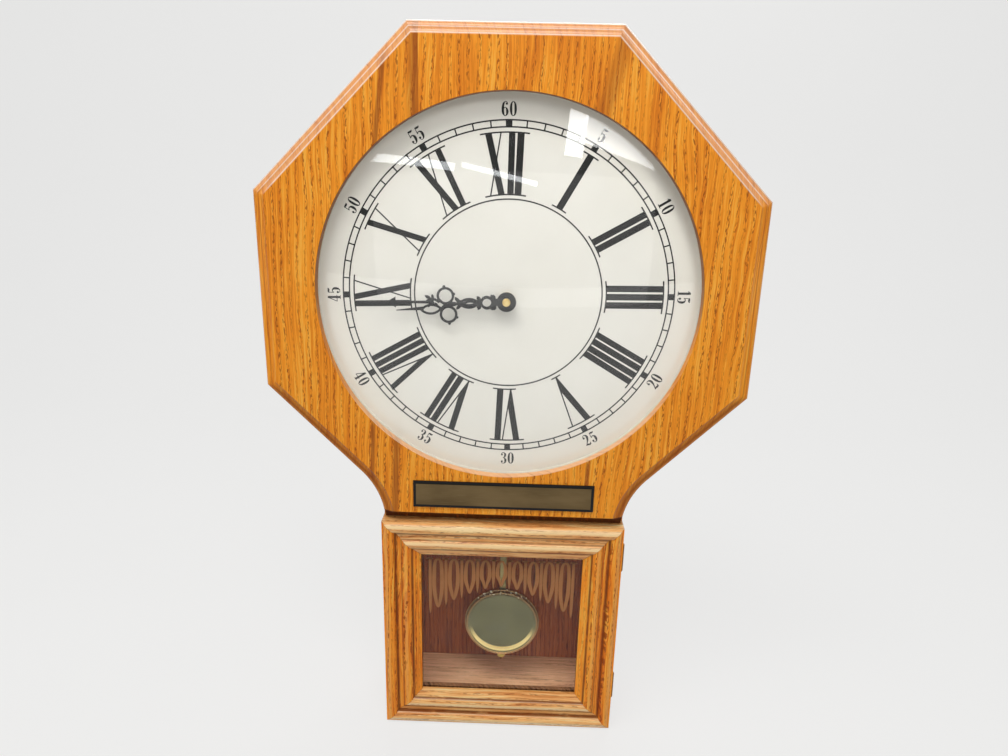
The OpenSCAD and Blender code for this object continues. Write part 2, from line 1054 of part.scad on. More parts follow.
module hour_outline()
{
    stem = hour_len - 21;
    hand_root(8.6);
    // ring on the lower side with its two knobs
    hoop(54, 7.6, 8.2, 5.9);
    translate([54, 16.2])
        circle(1.3);
    translate([46.4, 11])
        circle(1.2);
    petal(46.6, 3.6, -140, 7, 3.2);
    // bend that passes above the ring
    strand(50.4, 10, 12.6, 2.2, 230, 320);
    // open leaf before the spear
    strand(69.5, -6.4, 12, 2.1, 40, 138);
    strand(69.5, 9.6, 12, 2.1, 222, 320);
    petal(62.6, 0.4, -58, 5.6, 2.4);
    petal(66.6, -1.4, -78, 5, 2.4);
    polygon([[stem - 4, -1.5], [stem - 4, 1.9], [hour_len, 0.35], [hour_len, -0.35]]);
}

module minute_hand()
{
    color([0.03, 0.03, 0.03])
    on_axis()
    difference()
    {
        plate(min_y - hand_th, min_y)
            rotate(181.4)
                minute_outline();
        ycyl(0, 0, arbor_r, min_y - 5, min_y + 5);
    }
}

module hour_hand()
{
    color([0.03, 0.03, 0.03])
    on_axis()
    difference()
    {
        union()
        {
            plate(hour_y, hour_y + hand_th)
                rotate(186)
                    hour_outline();
            ycyl(0, 0, tube_r + 1.2, hour_y + hand_th, hour_y + hand_th + 2.2);
        }
        ycyl(0, 0, tube_r, hour_y - 5, hour_y + 10);
    }
}

module minute_arbor()
{
    color([0.75, 0.75, 0.74])
    on_axis()
    {
        ycyl(0, 0, arbor_r, min_y - hand_th - 2.4, move_back + 5);
        ycyl(0, 0, arbor_r + 0.8, min_y, hour_y - 1);
        difference()
        {
            ycyl(0, 0, train_half - 0.6, move_front + 8, move_front + 9.2);
            for (a = [0:12:348])
                ycyl((train_half - 0.2) * cos(a), (train_half - 0.2) * sin(a), 0.7,
                    move_front + 7, move_front + 10);
        }
    }
}

module hour_tube()
{
    color([0.72, 0.72, 0.70])
    on_axis()
    difference()
    {
        union()
        {
            ycyl(0, 0, tube_r, hour_y - 0.4, move_front + 6);
            difference()
            {
                ycyl(0, 0, train_half - 0.8, move_front + 4.4, move_front + 6);
                for (a = [0:12:348])
                    ycyl((train_half - 0.4) * cos(a), (train_half - 0.4) * sin(a), 0.7,
                        move_front + 4, move_front + 7);
            }
        }
        ycyl(0, 0, tube_bore, hour_y - 5, move_front + 10);
    }
}

module hand_nut()
{
    color([0.80, 0.66, 0.36])
    on_axis()
    difference()
    {
        union()
        {
            ycyl(0, 0, 3.7, min_y - hand_th - 2.6, min_y - hand_th);
            ycone(0, 0, 2.6, 3.7, min_y - hand_th - 3.8, min_y - hand_th - 2.6);
        }
        ycyl(0, 0, arbor_r, min_y - hand_th - 2.4, min_y + 5);
        for (a = [0:30:330])
            ycyl(4 * cos(a), 4 * sin(a), 0.45, min_y - hand_th - 4, min_y + 5);
    }
}

module setting_knob()
{
    color([0.10, 0.10, 0.11])
    on_axis()
    difference()
    {
        union()
        {
            ycyl(0, 0, 8, move_back + 2.2, move_back + 7);
            ycyl(0, 0, 3.4, move_back + 0.4, move_back + 2.2);
        }
        ycyl(0, 0, arbor_r, move_back - 5, move_back + 5);
        for (a = [0:15:345])
            ycyl(8.3 * cos(a), 8.3 * sin(a), 0.7, move_back, move_back + 10);
    }
}

module pendulum_driver()
{
    color([0.82, 0.80, 0.74])
    on_axis()
    {
        difference()
        {
            union()
            {
                ycyl(pend_x, pivot_z, 4.2, lever_y, rod_y);
                block([pend_x - 3.6, lever_y, pivot_z - 34], [pend_x + 3.6, rod_y, pivot_z]);
            }
            ycyl(pend_x, pivot_z, pivot_r + run_gap, lever_y - 1, rod_y + 1);
        }
        ycyl(pend_x, pivot_z - 29, 1.5, rod_y, rod_y + 3.2);
        block([pend_x - 1.5, rod_y + 2.2, pivot_z - 30.5], [pend_x + 1.5, rod_y + 3.2, pivot_z - 25.5]);
    }
}

module pendulum_rod()
{
    color([0.80, 0.70, 0.42])
    on_axis()
    difference()
    {
        plate(rod_y, rod_y + strip_th)
            union()
            {
                translate([pend_x - strip_w / 2, rate_top])
                    square([strip_w, pivot_z - 29 - rate_top]);
                translate([pend_x, pivot_z - 29])
                    circle(5);
            }
        ycyl(pend_x, pivot_z - 29, 1.5, rod_y - 1, rod_y + 5);
    }
}

module rating_rod()
{
    color([0.78, 0.66, 0.36])
    on_axis()
        translate([pend_x, rate_y, nut_top - 8])
            cylinder(r = rate_r, h = rate_top - nut_top + 8);
}

module bob_front_shell()
{
    y1 = bob_back_y;
    lip_r = bob_r - 2.6;
    face = y1 - 1.9;
    dome = 420;
    color([0.70, 0.66, 0.48])
    on_axis()
    yturn(pend_x, bob_z)
    {
        // slightly domed face, sunk in a raised lip
        intersection()
        {
            difference()
            {
                translate([0, face - 1.2 + dome])
                    circle(dome, $fn = 200);
                translate([0, face - 0.5 + dome])
                    circle(dome, $fn = 200);
            }
            translate([0, face - 3])
                square([lip_r - 0.2, 6]);
        }
        translate([lip_r - 0.5, y1 - 4.6])
            square([1, 3.9]);
        translate([lip_r, y1 - 4.6])
            circle(0.5, $fn = 48);
        // narrow groove and rolled rim
        translate([lip_r - 0.3, y1 - 1.4])
            square([1.8, 0.7]);
        translate([bob_r - 1, y1 - 1])
            circle(1, $fn = 48);
        translate([bob_r - 1.8, y1 - 0.8])
            square([1.2, 0.8]);
    }
}

module bob_back_shell()
{
    y0 = bob_back_y;
    y1 = rod_y + strip_th + 0.3;
    color([0.66, 0.56, 0.32])
    on_axis()
    difference()
    {
        yturn(pend_x, bob_z)
        {
            translate([0, y1 + 0.6])
                square([bob_r - 1, 0.8]);
            translate([bob_r - 2, y0])
                square([1.2, y1 + 1.4 - y0]);
        }
        block([pend_x - strip_w / 2 - 0.4, y0 - 1, bob_z - bob_r - 5],
            [pend_x + strip_w / 2 + 0.4, y1 + 0.6, bob_z + bob_r + 5]);
    }
}

module rating_nut()
{
    color([0.82, 0.68, 0.34])
    on_axis()
    translate([pend_x, rate_y, nut_top - 3.6])
        difference()
        {
            union()
            {
                cylinder(r = 4.2, h = 2.6);
                translate([0, 0, 2.6])
                    cylinder(r1 = 4.2, r2 = 3, h = 1);
            }
            translate([0, 0, -1])
                cylinder(r = rate_r + run_gap, h = 6);
            for (a = [0:20:340])
                translate([4.5 * cos(a), 4.5 * sin(a), -1])
                    cylinder(r = 0.5, h = 6);
        }
}

face_board();
case_left_side();
case_right_side();
case_top();
case_bottom();
back_panel();
back_panel_screws();
wall_hanger();
hanger_screws();
dial_plate();
dial_plate_screws();
dial_glass();
glass_spacer_ring();
plate_backing();
bare_plate();
movement_case();
movement_cover();
movement_bush();
movement_washer();
movement_hex_nut();
battery();
battery_contacts();
pendulum_pivot_pin();
case_hinge_leaves();
hinge_pins();
case_hinge_screws();
catch_housing();
catch_magnet();
catch_screws();
door_top_rail();
door_bottom_rail();
door_left_stile();
door_right_stile();
door_glass();
glass_retainers();
door_hinge_leaves();
door_hinge_screws();
catch_strike();
strike_screw();
minute_arbor();
minute_hand();
hand_nut();
setting_knob();
hour_tube();
hour_hand();
pendulum_driver();
pendulum_rod();
rating_rod();
bob_front_shell();
bob_back_shell();
rating_nut();
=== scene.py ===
import math

import bmesh
import bpy
from mathutils import Euler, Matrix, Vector


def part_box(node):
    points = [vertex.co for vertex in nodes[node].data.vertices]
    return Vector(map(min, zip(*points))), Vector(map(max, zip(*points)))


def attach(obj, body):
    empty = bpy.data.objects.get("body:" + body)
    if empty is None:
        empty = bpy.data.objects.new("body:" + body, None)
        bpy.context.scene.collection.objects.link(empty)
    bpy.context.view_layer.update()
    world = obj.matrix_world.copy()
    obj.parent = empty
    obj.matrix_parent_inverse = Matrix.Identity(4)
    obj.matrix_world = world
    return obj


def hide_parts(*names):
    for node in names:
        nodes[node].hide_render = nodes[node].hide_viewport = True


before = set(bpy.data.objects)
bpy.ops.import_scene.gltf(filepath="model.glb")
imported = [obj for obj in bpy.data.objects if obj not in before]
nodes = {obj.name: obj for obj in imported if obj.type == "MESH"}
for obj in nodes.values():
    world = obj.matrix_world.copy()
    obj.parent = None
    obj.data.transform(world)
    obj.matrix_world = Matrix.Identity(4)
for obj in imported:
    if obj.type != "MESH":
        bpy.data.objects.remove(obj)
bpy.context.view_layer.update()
scene = bpy.context.scene
scene.view_settings.view_transform = "Standard"

# CAMERA
# It stands where the photograph was taken from: 108 mm above the middle of the dial and 0.66 m
# in front of the middle of the case, looking down by some 16 degrees.
dial_low, dial_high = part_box("dial_plate")
dial_centre = (dial_low + dial_high) / 2
camera_right, camera_front, camera_above_dial = 0.008424, 0.66056, 0.10783
camera_turn = (73.5151, -1.3564, 1.3908)
lens = bpy.data.cameras.new("camera")
lens.lens = 24.64
lens.sensor_width = 36
camera = bpy.data.objects.new("camera", lens)
camera.location = (camera_right, -camera_front, dial_centre.z + camera_above_dial)
camera.rotation_euler = [math.radians(angle) for angle in camera_turn]
scene.collection.objects.link(camera)
scene.camera = camera


# FLOOR AND BACKDROP
# A pale sweep of studio paper: flat under the clock and curved up into a wall well behind it.
# Seen straight, in metal or through glass, it is lifted most of the way to white.
class Wire:
    """A value inside a finish. Arithmetic on it adds Math nodes."""

    def __init__(self, finish, socket):
        self.finish = finish
        self.socket = socket

    def math(self, operation, *others):
        sockets = {place: value for place, value in enumerate((self,) + others)}
        return self.finish.node("Math", {"operation": operation}, sockets)

    def reflected(self, operation, other):
        return self.finish.node("Math", {"operation": operation}, {0: other, 1: self})

    def __add__(self, other):
        return self.math("ADD", other)

    def __radd__(self, other):
        return self.reflected("ADD", other)

    def __sub__(self, other):
        return self.math("SUBTRACT", other)

    def __rsub__(self, other):
        return self.reflected("SUBTRACT", other)

    def __mul__(self, other):
        return self.math("MULTIPLY", other)

    def __rmul__(self, other):
        return self.reflected("MULTIPLY", other)

    def __truediv__(self, other):
        return self.math("DIVIDE", other)

    def __pow__(self, other):
        return self.math("POWER", other)

    def __abs__(self):
        return self.math("ABSOLUTE")

    def step(self, low, high):
        """Rises smoothly from 0 at low to 1 at high, or falls where high is the lower one."""
        return self.finish.node("MapRange", {"interpolation_type": "SMOOTHSTEP"},
                                {"Value": self, "From Min": low, "From Max": high})

    def near(self, place, reach, core):
        """1 within core of a place, falling smoothly to 0 at reach from it."""
        return abs(self - place).step(reach, core)

    def max(self, other):
        return self.math("MAXIMUM", other)


class Finish:
    """A node material with one Principled shader and the object's own millimetres in it."""

    def __init__(self, name):
        self.material = bpy.data.materials.new(name)
        self.material.use_nodes = True
        self.tree = self.material.node_tree
        self.tree.nodes.clear()
        self.output = self.tree.nodes.new("ShaderNodeOutputMaterial")
        self.shader = self.tree.nodes.new("ShaderNodeBsdfPrincipled")
        self.principled = Wire(self, self.shader.outputs[0])
        self.surface(self.principled)
        metres = self.node("TexCoord", out="Object")
        self.mm = self.node("VectorMath", {"operation": "SCALE"}, {0: metres, "Scale": 1000})
        self.x, self.y, self.z = (self.node("SeparateXYZ", {}, {0: self.mm}, axis)
                                  for axis in range(3))

    def node(self, kind, settings=None, sockets=None, out=0):
        """Any node: its settings are set first, and then the values or links of its sockets."""
        node = self.tree.nodes.new("ShaderNode" + kind)
        for name, value in (settings or {}).items():
            setattr(node, name, value)
        for name, value in (sockets or {}).items():
            if isinstance(value, Wire):
                self.tree.links.new(value.socket, node.inputs[name])
            else:
                node.inputs[name].default_value = value
        return Wire(self, node.outputs[out])

    def noise(self, point, detail=2.0, roughness=0.5, scale=1.0):
        return self.node("TexNoise", {},
                         {"Vector": point, "Scale": scale, "Detail": detail, "Roughness": roughness})

    def noise_at(self, x, y, z, detail=2.0, roughness=0.5):
        """Noise at the point that three values make."""
        return self.noise(self.node("CombineXYZ", {}, {0: x, 1: y, 2: z}), detail, roughness)

    def cloud(self, per_mm, detail=2.0, seed=0.0):
        """Noise over the object's millimetres. Its fineness is given for all axes, or for each."""
        fineness = per_mm if isinstance(per_mm, tuple) else (per_mm, per_mm, per_mm)
        moved_on = (seed, seed * 0.7, seed * 1.3)
        point = self.node("VectorMath", {"operation": "MULTIPLY_ADD"},
                          {0: self.mm, 1: fineness, 2: moved_on})
        return self.noise(point, detail)

    def mix(self, share, first, second):
        """A colour that goes from first to second as share goes from 0 to 1."""
        first, second = ((*c, 1) if isinstance(c, tuple) else c for c in (first, second))
        return self.node("Mix", {"data_type": "RGBA"}, {0: share, 6: first, 7: second}, 2)

    def laid(self, colour, *layers):
        """A colour under layers of (share, colour), each laid over the one before."""
        for share, over in layers:
            colour = self.mix(share, colour, shade(*over))
        return colour

    def bump(self, height, depth_mm, strength=1.0):
        """Surface relief from a height of 0 to 1 that stands depth_mm high."""
        return self.node("Bump", {},
                         {"Height": height, "Distance": depth_mm / 1000, "Strength": strength})

    def set(self, **values):
        """Sets the shader: base_color=wire, roughness=0.4 and so on."""
        for name, value in values.items():
            socket = self.shader.inputs[name.replace("_", " ").title().replace("Ior", "IOR")]
            if isinstance(value, Wire):
                self.tree.links.new(value.socket, socket)
            else:
                socket.default_value = (*value, 1) if isinstance(value, tuple) else value
        return self.material

    def surface(self, shader):
        """Makes this shader the one that is seen."""
        self.tree.links.new(shader.socket, self.output.inputs["Surface"])
        return self.material


def shade(red, green, blue):
    """A colour on the screen's scale of 0 to 255, turned to the light that it stands for."""
    return tuple((c / 255 / 12.92) if c <= 10 else ((c / 255 + 0.055) / 1.055) ** 2.4
                 for c in (red, green, blue))


def rays_seen(finish):
    """1 for rays from the camera, off metal and through glass, and 0 for the rest."""
    straight = finish.node("LightPath", out="Is Camera Ray")
    glossy = finish.node("LightPath", out="Is Glossy Ray")
    through = finish.node("LightPath", out="Is Transmission Ray")
    return straight.max(glossy).max(through)


def smooth_piece(name, vertices, faces):
    mesh = bpy.data.meshes.new(name)
    mesh.from_pydata(vertices, [], faces)
    mesh.polygons.foreach_set("use_smooth", [True] * len(mesh.polygons))
    piece = bpy.data.objects.new(name, mesh)
    scene.collection.objects.link(piece)
    return piece


sweep_half, sweep_front, sweep_wall, sweep_top = 4.0, -4.0, 1.6, 3.6
sweep_floor = -0.0006
bend, bend_steps = 0.7, 16
profile = [(sweep_front, sweep_floor), (sweep_wall - bend, sweep_floor)]
for step in range(1, bend_steps + 1):
    turn = math.radians(90 * step / bend_steps)
    profile.append((sweep_wall - bend + bend * math.sin(turn), bend * (1 - math.cos(turn))))
profile.append((sweep_wall, sweep_top))
sweep_points = [(x, y, z) for y, z in profile for x in (-sweep_half, sweep_half)]
sweep_faces = [(i, i + 1, i + 3, i + 2) for i in range(0, len(sweep_points) - 2, 2)]
sweep = smooth_piece("studio_sweep", sweep_points, sweep_faces)

paper = Finish("studio_paper")
blotches = paper.noise(paper.mm, 3, scale=0.004)
paper.set(base_color=paper.mix(blotches, (0.60, 0.60, 0.59), (0.64, 0.64, 0.63)), roughness=0.9)
glow = paper.node("Emission", {}, {"Color": (0.96, 0.96, 0.955, 1), "Strength": 1.0})
lift = rays_seen(paper) * 0.74
lifted = paper.node("MixShader", {}, {0: lift, 1: paper.principled, 2: glow})
sweep.data.materials.append(paper.surface(lifted))

# LIGHT
# One large soft lamp hangs overhead, and weaker ones fill from the sides, the front and the back.
# Four small ones stand where the domed glass mirrors them, as its soft patch and its streaks.
# The camera sees the sky past the sweep's edges in the paper's tone.
world = bpy.data.worlds.new("studio")
scene.world = world
world.use_nodes = True
sky_nodes, sky_links = world.node_tree.nodes, world.node_tree.links
sky = sky_nodes["Background"]
sky.inputs["Color"].default_value = (1.0, 0.995, 0.985, 1)
sky.inputs["Strength"].default_value = 0.15
seen_sky = sky_nodes.new("ShaderNodeBackground")
seen_sky.inputs["Color"].default_value = (0.82, 0.82, 0.815, 1)
sky_ray = sky_nodes.new("ShaderNodeLightPath")
sky_mix = sky_nodes.new("ShaderNodeMixShader")
sky_links.new(sky_ray.outputs["Is Camera Ray"], sky_mix.inputs[0])
sky_links.new(sky.outputs[0], sky_mix.inputs[1])
sky_links.new(seen_sky.outputs[0], sky_mix.inputs[2])
sky_links.new(sky_mix.outputs[0], sky_nodes["World Output"].inputs["Surface"])

clock_middle = (0, 0, 0.38)
dome_crown = (0.08, -0.05, 0.59)
warm, white, cool = (1.0, 0.99, 0.97), (1, 1, 1), (0.95, 0.98, 1)


def lamp(name, place, size, watts, target=clock_middle, colour=warm, lean=0.0):
    """A rectangular soft lamp, aimed at a target and turned about its aim by lean degrees."""
    light = bpy.data.lights.new(name, "AREA")
    light.shape = "RECTANGLE"
    light.size, light.size_y = size
    light.energy = watts
    light.color = colour
    stand = bpy.data.objects.new(name, light)
    stand.location = place
    aim = Vector(target) - Vector(place)
    turn = aim.to_track_quat("-Z", "Y").to_matrix() @ Euler((0, 0, math.radians(lean))).to_matrix()
    stand.rotation_euler = turn.to_euler()
    scene.collection.objects.link(stand)


lamp("lamp_overhead", place=(-0.35, -0.85, 2.0), size=(1.5, 0.7), watts=20.5)
lamp("lamp_left", place=(-1.9, -0.8, 1.2), size=(1.0, 1.2), watts=3.9)
lamp("lamp_right", place=(1.9, -0.8, 1.2), size=(1.0, 1.2), watts=2.4)
lamp("lamp_low_front", place=(0, -2.3, 0.5), size=(3.0, 1.6), watts=7, target=(0, 0, 0.25))
lamp("lamp_back", place=(0.2, 1.35, 1.7), size=(1.6, 1.0), watts=13)
lamp("lamp_patch", place=(0.58, -1.06, 1.14), size=(0.46, 0.20), watts=1.6,
     target=dome_crown, colour=white, lean=-24)
lamp("lamp_patch_edge", place=(0.33, -1.12, 1.17), size=(0.10, 0.26), watts=0.7,
     target=dome_crown, colour=white, lean=-10)
lamp("lamp_streak_left", place=(-0.569, -1.15, 1.006), size=(0.50, 0.045), watts=0.4,
     target=dome_crown, colour=cool, lean=1)
lamp("lamp_streak_right", place=(-0.085, -1.286, 0.972), size=(0.46, 0.03), watts=0.26,
     target=dome_crown, colour=cool, lean=-11)

# FACE BOARD
# One octagonal board of oak-veneered stock with a neck, its edge routed to a step, a bead and a slope.
# It is stained honey orange and lacquered semi-gloss; the grain runs upright.
dial_centre_z = dial_centre.z * 1000


def oak(name, along="z", across="x", seed=0.0, light=(254, 182, 70), middle=(250, 157, 40),
        dark=(222, 124, 28), pore=(156, 78, 20), ring_mm=7.2, wander_mm=18.0, lean=0.0, gloss=0.36,
        coat=0.2, grain=1.0, tick_mm=4.8, figure=None, tone=None):
    """Lacquered oak. Fine lines run along it, and columns of dark pores mark its growth rings."""
    finish = Finish(name)
    place = {"x": finish.x, "y": finish.y, "z": finish.z}
    u, w = place[across], place[along]
    v = place[({"x", "y", "z"} - {along, across}).pop()]

    # growth rings, drawn out along the board and wandering across it
    small_wander_mm, waver_share = 6.0, 0.22
    broad = finish.noise_at(u * 0.007, v * 0.012 + seed, w * 0.0042) - 0.5
    close = finish.noise_at(u * 0.040, v * 0.040 + seed, w * 0.016) - 0.5
    drawn = u + v * 0.7 - w * lean + broad * wander_mm + close * small_wander_mm
    if figure is not None:
        drawn = drawn + figure(finish)
    rings = drawn / ring_mm
    ring = rings.math("FLOOR")
    waver = finish.noise_at(ring * 5.3, seed, w * 0.14) - 0.5
    phase = rings - ring + waver * waver_share

    # pores: short ticks in the early wood of each ring, bolder in some rings, and finer pricks
    early_wood = 0.45
    bold = finish.noise_at(ring * 7.31, seed + 9, w * 0.007, 1).step(0.30, 0.62)
    column = phase.near(early_wood, 0.23, 0.09)
    near_column = phase.near(early_wood, 0.5, 0.1)
    ticks = finish.noise_at(drawn * 1.05, seed + 4, w / tick_mm, 1).step(0.50, 0.60)
    pricks = finish.noise_at(drawn * 0.95, v * 0.4 + seed, w * 0.11, 1.5, 0.6).step(0.58, 0.68)
    filled = grain(finish) if callable(grain) else grain
    pores = (column * ticks * (bold * 0.65 + 0.35) + pricks * (near_column * bold * 0.5 + 0.12)) * filled

    # colour: fine lines on broad changes of tone, and the pores over them
    fine = finish.noise_at(drawn * 0.85, v * 0.1 + seed, w * 0.02, 2.5, 0.65)
    broad_tone = finish.noise_at(drawn * 0.045, v * 0.03 + seed, w * 0.006, 2, 0.6)
    darkness = fine + broad_tone * 0.5 + bold * near_column * 0.10
    lightness = fine + broad_tone * 0.35
    colour = finish.laid(shade(*middle), (darkness.step(0.70, 1.0), dark),
                         (lightness.step(0.66, 0.48), light))
    if tone is not None:
        colour = tone(finish, colour)
    colour = finish.laid(colour, (pores.math("MINIMUM", 0.9), pore))

    rough = finish.cloud(0.02, 3, seed) * 0.16 + gloss - 0.05 + pores * 0.12
    relief = 1 - pores * 0.8 + fine * 0.2
    return finish.set(base_color=colour, roughness=rough, normal=finish.bump(relief, 0.08, 0.5),
                      coat_weight=coat(finish) if callable(coat) else coat, coat_roughness=0.18,
                      specular_ior_level=0.12)


routed_mm, face_mm = 11.5, 41.5
slope_inset, foot_inset = 3.2, 1.5
neck_half, cove_r = 108.3, 90.0
face_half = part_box("face_board")[1].x * 1000 - routed_mm
slope_half = face_half - slope_inset
opening_mm = face_half - face_mm
neck_foot = face_half - foot_inset
cove_sum = (slope_half + cove_r) * math.sqrt(2)
cove_lead = neck_half - (cove_sum - neck_foot)
cove_x = (2 * neck_half - cove_lead + math.sqrt(2 * cove_r ** 2 - cove_lead ** 2)) / 2
cove_z = dial_centre_z - (cove_sum - cove_x)
cove_start = cove_x - cove_r / math.sqrt(2)


def past_face(finish):
    """How far a point of the board lies beyond its flat face, square to the routed edge."""
    across = abs(finish.x)
    up = finish.z - dial_centre_z
    slope = (across + abs(up)) * math.sqrt(0.5) - slope_half
    straight = across.max(abs(up)) - face_half
    cove = cove_r - ((across - cove_x) ** 2 + (finish.z - cove_z) ** 2).math("SQRT")
    on_cove = (across - cove_start).step(0.1, -0.1) * up.step(-100, -101)
    return straight.max(slope) * (1 - on_cove) + cove * on_cove


def board_coat(finish):
    """The lacquer lies thickest on the upper half of the routed edge."""
    return past_face(finish).step(-0.4, 0.6) * (finish.z - dial_centre_z).step(-60, 60) * 0.75 + 0.12


def opening_wall(finish):
    """One on the wall of the round opening, nought on the face."""
    up = finish.z - dial_centre_z
    return (finish.x ** 2 + up ** 2).math("SQRT").step(opening_mm + 0.5, opening_mm + 0.1)


def board_grain(finish):
    """The pores of the routed edge and of the opening's wall are filled with lacquer."""
    return 1 - past_face(finish).step(-0.4, 0.6).max(opening_wall(finish)) * 0.75


def board_figure(finish):
    """The swirl that the growth rings make at the upper right."""
    right_mm, above_mm, wide_mm, tall_mm, push_mm = 120, 170, 46, 90, 10
    across = (finish.x - right_mm) / wide_mm
    up = (finish.z - dial_centre_z - above_mm) / tall_mm
    return (across * across + up * up).step(1.5, 0.0) * push_mm


def board_tone(finish, colour):
    """Brown streaks and the veneer's joint, painted highlights on the upper edges, painted shade on the
    lower edges, side groove and foot, and painted shade and light on the opening's wall.
    """
    up = finish.z - dial_centre_z
    joint_left_mm = 79.3
    right_of_joint = finish.x + joint_left_mm
    streaks = right_of_joint.step(0.4, -0.4) * right_of_joint.step(-13, -2) * up.step(110, 130)
    streak_places = ((-103.5, -226, -130, 0.04, 4.4), (-125.5, -190, -115, 0.04, 2.8),
                     (-107, 95, 208, 0.13, 3.2), (81, -216, -150, 0.02, 3.0))
    for x, low, high, lean, half in streak_places:
        inside = up.step(low, low + 12) * up.step(high, high - 12)
        streak = abs(finish.x - x - (up - high) * lean).step(half, half * 0.3) * inside
        streaks = streaks.max(streak)
    swirl_x = (up - 190) * 0.28 + 84
    swirl = finish.x.near(swirl_x, 11, 2) * up.step(120, 165) * 0.6
    ragged = finish.noise_at(finish.x * 0.5, 0, finish.z * 0.02)
    brown = streaks.max(swirl) * (ragged * 1.1 + 0.25)

    past = past_face(finish)
    routed = past.step(-0.3, 0.3)
    slope_from, slope_to = 84, 96
    # masks for painted light on the routed edge: highlight above, shade below and in the side groove
    highlit_upper_edge = routed * up.step(slope_from, slope_to)
    shaded_lower_edge = routed * up.step(-slope_from, -slope_to)
    upright = routed * up.step(slope_to, slope_from) * up.step(-slope_to, -slope_from)
    inner_crest, bead_crest, outer_crest = 1.2, 6.2, 10.6
    crest_highlights = past.near(inner_crest, 0.8, 0.3).max(past.near(bead_crest, 0.8, 0.2))
    crest_highlights = crest_highlights.max(past.near(outer_crest, 1.3, 0.4)) * highlit_upper_edge
    wall = opening_wall(finish)
    foot = up.step(-neck_foot - 0.8, -neck_foot - 2.0)
    return finish.laid(colour,
                       (brown, (160, 82, 24)),
                       # painted highlight on the upper routed edges, with cream lines of it along their
                       # crests
                       (highlit_upper_edge * 0.5, (236, 178, 138)),
                       (crest_highlights * 0.75, (255, 236, 218)),
                       # painted shade on the lower routed edges, and a line of it in the side edges'
                       # groove
                       (shaded_lower_edge * (past.near(6, 3.0, 0.5) * 0.3 + 0.45), (142, 68, 20)),
                       (upright * past.near(5.2, 1.0, 0.2) * 0.5, (150, 78, 26)),
                       # painted shade on the upper wall of the opening, painted light on its lower wall
                       (wall * up.step(-60, 40) * 0.8, (104, 50, 20)),
                       (wall * up.step(-70, -120) * 0.6, (255, 214, 176)),
                       # painted shade under the board's foot
                       (foot * 0.93, (70, 28, 12)))


def dress(names, material):
    """Gives pieces that come from the frame their finish."""
    for name in names.split():
        slots = nodes[name].data.materials
        slots.clear()
        slots.append(material)


dress("face_board", oak("oak_face_board", coat=board_coat, grain=board_grain, figure=board_figure,
                        tone=board_tone, seed=3.1, lean=0.03))

# CASE BOX
# Four oak boards butt-jointed behind the face board. The sides' grain is upright, the top's runs
# across, and the floor inside is only thinly lacquered, so it is duller and greyer.
dress("case_left_side case_right_side", oak("oak_case_side", across="y", seed=7.4, gloss=0.42, coat=0.12,
                                            middle=(216, 134, 46), light=(234, 158, 70)))
dress("case_top", oak("oak_case_top", along="x", across="y", seed=11.2, gloss=0.42, coat=0.12))
dress("case_bottom", oak("case_floor_wood", along="x", across="y", seed=5.7, light=(248, 202, 160),
                         middle=(234, 184, 142), dark=(196, 142, 106), pore=(120, 80, 56), ring_mm=6.5,
                         wander_mm=10, tick_mm=6.0, gloss=0.6, coat=0.0, grain=0.45))

# BACK PANEL AND HANGER
# Thin plywood stained dark brown, screwed into the rear edges of the case. A zinc-plated keyhole
# plate takes the wall screw; its own screws go through the panel into the case top.
dress("back_panel", oak("back_panel_ply", seed=9.9, light=(196, 116, 66), middle=(174, 96, 52),
                        dark=(136, 70, 38), pore=(64, 30, 16), ring_mm=5.2, wander_mm=12,
                        tick_mm=12.0, gloss=0.55, coat=0.0, grain=0.7))


def plated(name, colour, tarnish, roughness=0.3, seed=0.0, metallic=1.0, spots=0.35):
    """Plated or turned metal: cloudy tarnish, fine handling scratches and a few dull spots."""
    finish = Finish(name)
    cloud = finish.cloud(0.09, 3, seed)
    scratch = finish.cloud((4.0, 4.0, 0.4), 2, seed)
    spot = finish.cloud(0.8, 2, seed).step(0.60, 0.72) * spots
    dull = [c * 0.55 for c in tarnish]
    colour = finish.laid(shade(*colour), (cloud.step(0.35, 0.75), tarnish), (spot, dull))
    rough = cloud * 0.14 + scratch * 0.10 + spot * 0.25 + roughness - 0.1
    return finish.set(base_color=colour, metallic=metallic, roughness=rough,
                      normal=finish.bump(scratch, 0.02, 0.3))


zinc = plated("zinc_plate", (206, 206, 202), (168, 166, 158), 0.38, seed=2.0)
dress("back_panel_screws wall_hanger hanger_screws catch_screws", zinc)

# DIAL
# A round board faced in off-white, and held from behind by six wide-headed brass screws. The face
# has a faint tooth, and is a little yellowed towards its rim. Its colours are written darker than
# they look, because the glass over it brightens them.
dial = Finish("dial_face")
dial_out = (dial.x * dial.x + (dial.z - dial_centre_z) ** 2).math("SQRT")
tooth = dial.cloud(1.6)
mottle = dial.cloud(0.018, 3)
specks = dial.cloud(0.35, 1, 4.0).step(0.78, 0.84)
dial_colour = dial.laid(shade(214, 211, 204),
                        (mottle.step(0.3, 0.7), (211, 208, 200)),
                        (dial_out.step(120, 184) * 0.75, (220, 214, 203)),
                        (specks * 0.25, (170, 160, 140)))
dress("dial_plate", dial.set(base_color=dial_colour, roughness=tooth * 0.1 + 0.52,
                             normal=dial.bump(tooth, 0.02, 0.25), specular_ior_level=0.3))
screw_brass = plated("brass_screws", (214, 184, 112), (168, 134, 70), 0.3, seed=5.0)
dress("dial_plate_screws", screw_brass)

